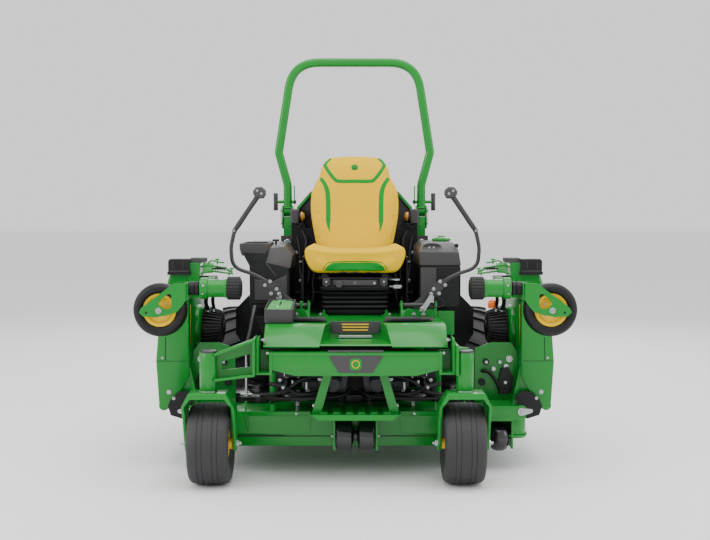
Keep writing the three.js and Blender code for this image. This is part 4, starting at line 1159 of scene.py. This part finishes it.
# ---------- wheels ----------
def caster_wheels():
    for side, s in SIDES:
        x = CASTER_X[side]
        tyre = Shape()
        half = [(78, 50), (86, 62), (100, 74), (118, 82), (134, 84), (148, 81), (156, 74), (161, 62),
            (163.6, 48)]
        for groove in (40, 20):
            half += [(164.2, groove + 1.4), (162.4, groove + 0.9), (162.4, groove - 0.9),
                (164.6, groove - 1.4)]
        half += [(165, 6)]
        tyre.lathe("x", (x, 0, CASTER_Z), two_sided(half), 96, ring=True)
        piece(f"caster_tyre_cover_{side}", tyre, TYRE, f"caster_wheel_{side}", 0,
            replaces=[f"caster_tyre_{side}"], sharp=math.radians(50))
        rim = Shape()
        half = [(13, 88), (22, 88), (24, 70), (30, 50), (52, 46), (60, 54), (64, 64), (77, 66), (80, 58)]
        rim.lathe("x", (x, 0, CASTER_Z), two_sided(half), 56, ring=True)
        piece(f"caster_rim_cover_{side}", rim, YELLOW, f"caster_wheel_{side}", 0.8,
            replaces=[f"caster_rim_{side}"])
        nuts = Shape()
        for out in (1, -1):
            nuts.bolt((x + out * 104.5, 0, CASTER_Z), 13, (out, 0, 0))
            for r, near, far in ((6, 104, 124), (15, 90, 96)):
                nuts.rod("x", (0, 0, CASTER_Z), r, x + out * near, x + out * far)
        piece(f"caster_axle_nuts_{side}", nuts, ZINC, f"caster_{side}", 0.5)
        piece(f"barrel_cap_{side}", Shape().lathe("z", (x, STEM_Y, 0), [(34, 544), (35.5, 546), (35.5, 551),
            (32, 554), (10, 555)]), GREY_PAINT, "chassis", 0.8)
        piece(f"stem_washer_{side}", Shape().lathe("z", (x, STEM_Y, 0), [(30, 386), (36, 388), (36, 393),
            (30, 394)], 28), ZINC, f"caster_{side}", 0.5)


def drive_wheels():
    for side, s in SIDES:
        tyre = Shape(s)
        half = [(152, 104), (158, 118), (178, 134), (210, 146), (240, 149), (266, 143), (282, 128),
            (289, 100), (291, 60), (292, 20)]
        tyre.lathe("x", DRIVE_WHEEL, two_sided(half), 96, ring=True)
        for k in range(22):
            for out, lag in ((1, 0), (-1, 0.5)):
                start = 2 * math.pi * (k + lag) / 22
                rings = []
                for t in (0, 0.25, 0.5, 0.75, 1):
                    x = 550 + out * (4 + 134 * t)
                    turn = start + 0.17 * t ** 1.2
                    top = 304.5 - 4 * t ** 3 - 10 * max(0, t - 0.75)
                    low = 286 - 14 * t ** 4
                    wide = (0.034, 0.041, 0.046, 0.05, 0.056)[round(t * 4)]
                    rings.append([(x, 1350 + r * math.cos(a), 305 + r * math.sin(a))
                        for r, a in ((low, turn - wide), (top, turn - wide * 0.8), (top, turn + wide * 0.8),
                        (low, turn + wide))])
                tyre.rings(rings)
        piece(f"drive_tyre_cover_{side}", tyre, TYRE, f"drive_wheel_{side}", 0,
            replaces=[f"drive_tyre_{side}"])
        hub = Shape(s)
        for k in range(5):
            a = 2 * math.pi * k / 5
            hub.bolt((640, 1350 + 57 * math.cos(a), 305 + 57 * math.sin(a)), 10, (1, 0, 0))
        piece(f"drive_nuts_{side}", hub, ZINC, f"drive_wheel_{side}", 0.5)


# ---------- centre deck and underside ----------
def deck_details():
    lines = Shape().box((-556, 556), (198.4, 200.4), (152, 156))
    lines.tube([(-300, 198.6, 158), (-556, 198.6, 158)], 1.2, 6, 2)
    piece("skirt_lip_line", lines, BLACK, "deck", 0)
    panels = Shape()
    for s in (1, -1):
        panels.prism("y", rounded_box(sorted((s * 190, s * 500)), (166, 240), 6), 197.6, 200)
    piece("deck_front_plates", panels, GREEN, "deck", 1)
    bolts = Shape()
    for s in (1, -1):
        bolts.bolt((s * 95, 130, 169), 8, (s, 0, 0))
        bolts.bolt((s * 520, 197, 240), 4).bolt((s * 250, 197, 250), 3.5).bolt((s * 176, 199, 284), 5)
    piece("deck_bolts", bolts, ZINC, "deck", 0.4)
    for side, s in SIDES:
        lug = Shape(s)
        outline = arc(703, 258, 17, 60, 300, 8) + arc(742, 262, 9, -80, 80, 6)
        lug.prism("y", outline, 187, 192.5)
        piece(f"lug_plate_{side}", lug, ZINC, "deck")
        piece(f"lug_bolt_{side}", Shape(s).bolt((703, 187, 258), 7), STEEL, "deck", 0.4)
        cover = Shape(s).lathe("z", (440, 545, 0), [(138, 259), (138, 286), (128, 298), (60, 306), (52, 322),
            (20, 326)], 48)
        cover.box((60, 440), (470, 620), (259, 290))
        piece(f"belt_cover_{side}", cover, GLOSS, "deck", 3)
        pulley = Shape(s).lathe("z", (250, 330, 0), [(52, 286), (56, 290), (44, 298), (56, 306), (52, 310),
            (20, 314)], 40)
        pulley.rod("z", (250, 330, 0), 10, 259, 330)
        piece(f"idler_{side}", pulley, STEEL, "deck", 0.6)
        piece(f"deck_hook_{side}", Shape(s).tube([(462, 208, 300), (466, 196, 282), (462, 190, 262),
            (456, 192, 200), (456, 197, 176)], 4.5, 10, 5), GREEN, "deck", 0, sharp=TUBE_SHARP)
        piece(f"shoe_rim_{side}", Shape(s).tube([(640, 232, 150), (690, 226, 146), (728, 250, 146),
            (738, 300, 150)], 5, 8, 5), GREEN, "deck", 0, sharp=TUBE_SHARP)
        piece(f"side_wheel_bolts_{side}", Shape(s).bolt((570, 262, 138), 7, (-1, 0, 0)).bolt((664, 262, 138),
            7, (1, 0, 0)), ZINC, "deck", 0.4)
    piece("belt_cover_center", Shape().lathe("z", (0, 545, 0), [(110, 259), (110, 290), (96, 304), (52, 310),
        (48, 330), (16, 334)], 48), GLOSS, "deck", 3)


def front_step():
    tread = Shape().hull([(x, y, z) for x, y in ((-184, -28), (184, -28), (184, 60), (150, 184), (-150, 184),
        (-184, 60)) for z in (280, 285)])
    tread.hull([(x, y, z) for x, y, z in ((-178, -30, 285), (178, -30, 285), (150, -32, 262),
        (-150, -32, 262), (-178, -25, 285), (178, -25, 285), (150, -27, 262), (-150, -27, 262))])
    for s in (1, -1):
        tread.hull([(s * x, y, z) for x, z in ((95, 446), (130, 446), (178, 285), (140, 285))
            for y, z in ((12 if z > 400 else 20, z), (17 if z > 400 else 60, z))])
        for k, x in enumerate((24, 76, 128)):
            tread.hull([(s * (x + g), y, h) for g, h in ((-17, 285), (17, 285), (11, 292), (-11, 292))
                for y in (-14 + k * 4, 150 - k * 18)])
    piece("step_tread", tread, GREEN, "chassis", 1.2, replaces=["front_step"])


def underside():
    # painted shade: a plain black sheet at the back closes the dark space under the seat, so no background
    # shows through
    piece("underside_shade_plate", Shape().box((-430, 430), (1036, 1044), (225, 660)), BLACK, "chassis", 2)
    for side, s in SIDES:
        piece(f"deck_side_wall_{side}", Shape(s).prism("y", ((530, 262), (700, 262), (712, 300), (727, 420),
            (716, 490), (690, 526), (604, 526), (530, 500)), 430, 436), GREEN, "deck")
        latch = Shape(s).slab(((636, 300), (690, 300), (700, 370), (676, 420), (646, 410), (632, 350)), 406,
            429)
        latch.tube([(560, 420, 400), (590, 400, 396), (620, 396, 360), (640, 400, 320)], 8, 10, 5)
        latch.rod("y", (580, 0, 440), 13, 412, 430).rod("y", (562, 0, 350), 15, 412, 430)
        piece(f"deck_side_latch_{side}", latch, PLASTIC, "deck", 2)
        pins = Shape(s).bolt((580, 412, 440), 5).bolt((664, 406, 350), 5)
        pins.rod("y", (612, 0, 410), 10, 410, 430)
        piece(f"deck_side_pins_{side}", pins, ZINC, "deck", 0.5)
    tank = Shape().slab(((-222, 330), (222, 330), (222, 426), (-222, 426)), 300, 990)
    tank.lathe("z", (0, 420, 0), [(70, 336), (88, 330), (96, 318), (92, 312), (30, 308)], 48)
    piece("hydraulic_tank", tank, BLACK, "chassis", 6)
    pumps = Shape()
    for s in (1, -1):
        pumps.hull([(s * x, y, z) for x, z in ((40, 345), (150, 345), (160, 425), (30, 425))
            for y in (180, 300)])
        pumps.rod("y", (s * 95, 0, 380), 32, 150, 200, 28)
        pumps.rod("x", (0, 215, 378), 22, s * 150, s * 226, 24)
        pumps.box((s * 292, s * 360), (240, 300), (330, 420))
    piece("pumps", pumps, ALLOY, "chassis", 3)
    hoses = Shape()
    runs = (
        (9, ((110, 160, 372), (150, 130, 352), (230, 120, 348), (300, 140, 372), (360, 180, 380))),
        (8, ((60, 160, 400), (120, 140, 418), (220, 130, 408), (300, 150, 350), (400, 190, 330))),
        (9, ((20, 170, 360), (60, 130, 336), (170, 120, 330), (280, 150, 320), (380, 200, 316))),
        (7, ((300, 200, 400), (322, 184, 360), (334, 190, 318), (360, 220, 290))),
    )
    for s in (1, -1):
        for r, run in runs:
            hoses.tube([(s * x, y, z) for x, y, z in run], r)
    piece("front_hoses", hoses, RUBBER, "chassis", 0, sharp=TUBE_SHARP)
    fittings = Shape()
    for s in (1, -1):
        fittings.rod("x", (0, 140, 372), 11, s * 292, s * 308)
        fittings.rod("z", (s * 262, 150, 0), 7, 372, 400).rod("z", (s * 205, 150, 0), 6, 360, 392)
        fittings.bolt((s * 318, 176, 396), 5).bolt((s * 240, 176, 410), 4)
        fittings.bolt((s * 150, 178, 400), 6).bolt((s * 200, 176, 352), 6)
        fittings.lathe("y", (s * 285, 0, 425), [(7, 132), (11, 130), (14, 133), (11, 136), (7, 136)], 20,
            ring=True)
    piece("front_fittings", fittings, ZINC, "chassis", 0.5)
    for side, s in SIDES:
        # painted shade: plain black walls close the dark space under the console
        wall = Shape(s).box((292, 430), (1020, 1030), (330, 640)).box((292, 350), (560, 1030), (430, 436))
        wall.slab(((300, 470), (372, 470), (440, 640), (300, 640)), 430, 440)
        piece(f"under_console_shade_walls_{side}", wall, BLACK, "chassis", 2)
    piece("lift_link", Shape(-1).tube([(440, 396, 690), (448, 360, 640), (456, 330, 580), (470, 310, 528)], 9,
        14), GREY_PAINT, "chassis", 0, sharp=TUBE_SHARP)
    rod = Shape(-1).tube([(470, 306, 524), (470, 300, 420), (470, 296, 312)], 6, 12, 3)
    rod.box((456, 484), (296, 318), (514, 534)).rod("x", (0, 306, 524), 8, 444, 500)
    rod.rod("z", (470, 298, 0), 11, 396, 430).bolt((500, 306, 524), 8, (1, 0, 0))
    rod.rod("z", (470, 296, 0), 9, 308, 322).rod("x", (0, 296, 316), 6, 444, 496)
    piece("lift_rod", rod, ZINC, "chassis", 0.6)


# ---------- back of the machine ----------
def engine_details():
    back = (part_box("engine_hood")[1].y - AXLE_Y) / MM
    slats = Shape()
    for s in (1, -1):
        for k in range(8):
            z = 760 + k * 38
            for y in (1220, 1400, 1580):
                slats.hull([(s * x, t, h) for x, h in ((284, z), (289, z + 2), (284, z + 22))
                    for t in (y, y + 130)])
    piece("hood_louvres", slats, BLACK, "chassis", 1)
    rear = Shape()
    for k in range(9):
        z = 720 + k * 42
        rear.hull([(x, y, h) for x in (-210, 210) for y, h in ((back - 1, z), (back + 5, z + 3),
            (back - 1, z + 24))])
    piece("hood_rear_louvres", rear, BLACK, "chassis", 1)
    latch = Shape()
    for s in (1, -1):
        latch.box((s * 284, s * 294), (1660, 1700), (700, 760))
        latch.bolt((s * 294, 1680, 745), 5, (s, 0, 0))
    piece("hood_latches", latch, ZINC, "chassis", 1)
    pipe = Shape().rod("x", (0, 1850, 690), 46, -200, 150, 32)
    pipe.tube([(150, 1850, 690), (190, 1850, 690), (214, 1870, 684), (220, 1920, 670), (220, 1980, 664)], 19,
        16, 5)
    piece("muffler", pipe, STEEL, "chassis", 3)
    straps = Shape()
    for x in (-130, 80):
        straps.rod("x", (0, 1850, 690), 48.5, x - 9, x + 9, 32).box((x - 9, x + 9), (1762, 1806), (668, 700))
    piece("muffler_straps", straps, BLACK, "chassis", 0.8)
    bolts = Shape()
    for s in (1, -1):
        for z in (460, 530):
            bolts.bolt((s * 270, 2083, z), 8, (0, 1, 0))
        bolts.bolt((s * 300, 2000, 620), 9, (s, 0, 0))
        for y in (900, 1080, 1280, 1450):
            bolts.bolt((s * 440, y, 706), 6, (0, 0, 1))
    piece("rear_bolts", bolts, ZINC, "chassis", 0.5)


for side, s in SIDES:
    gauge_arm(side, s)
    gauge_wheel(side, s)
    wing_drive(side, s)
    wing_trim(side, s)
caster_wheels()
drive_wheels()
deck_details()
front_step()
underside()
engine_details()
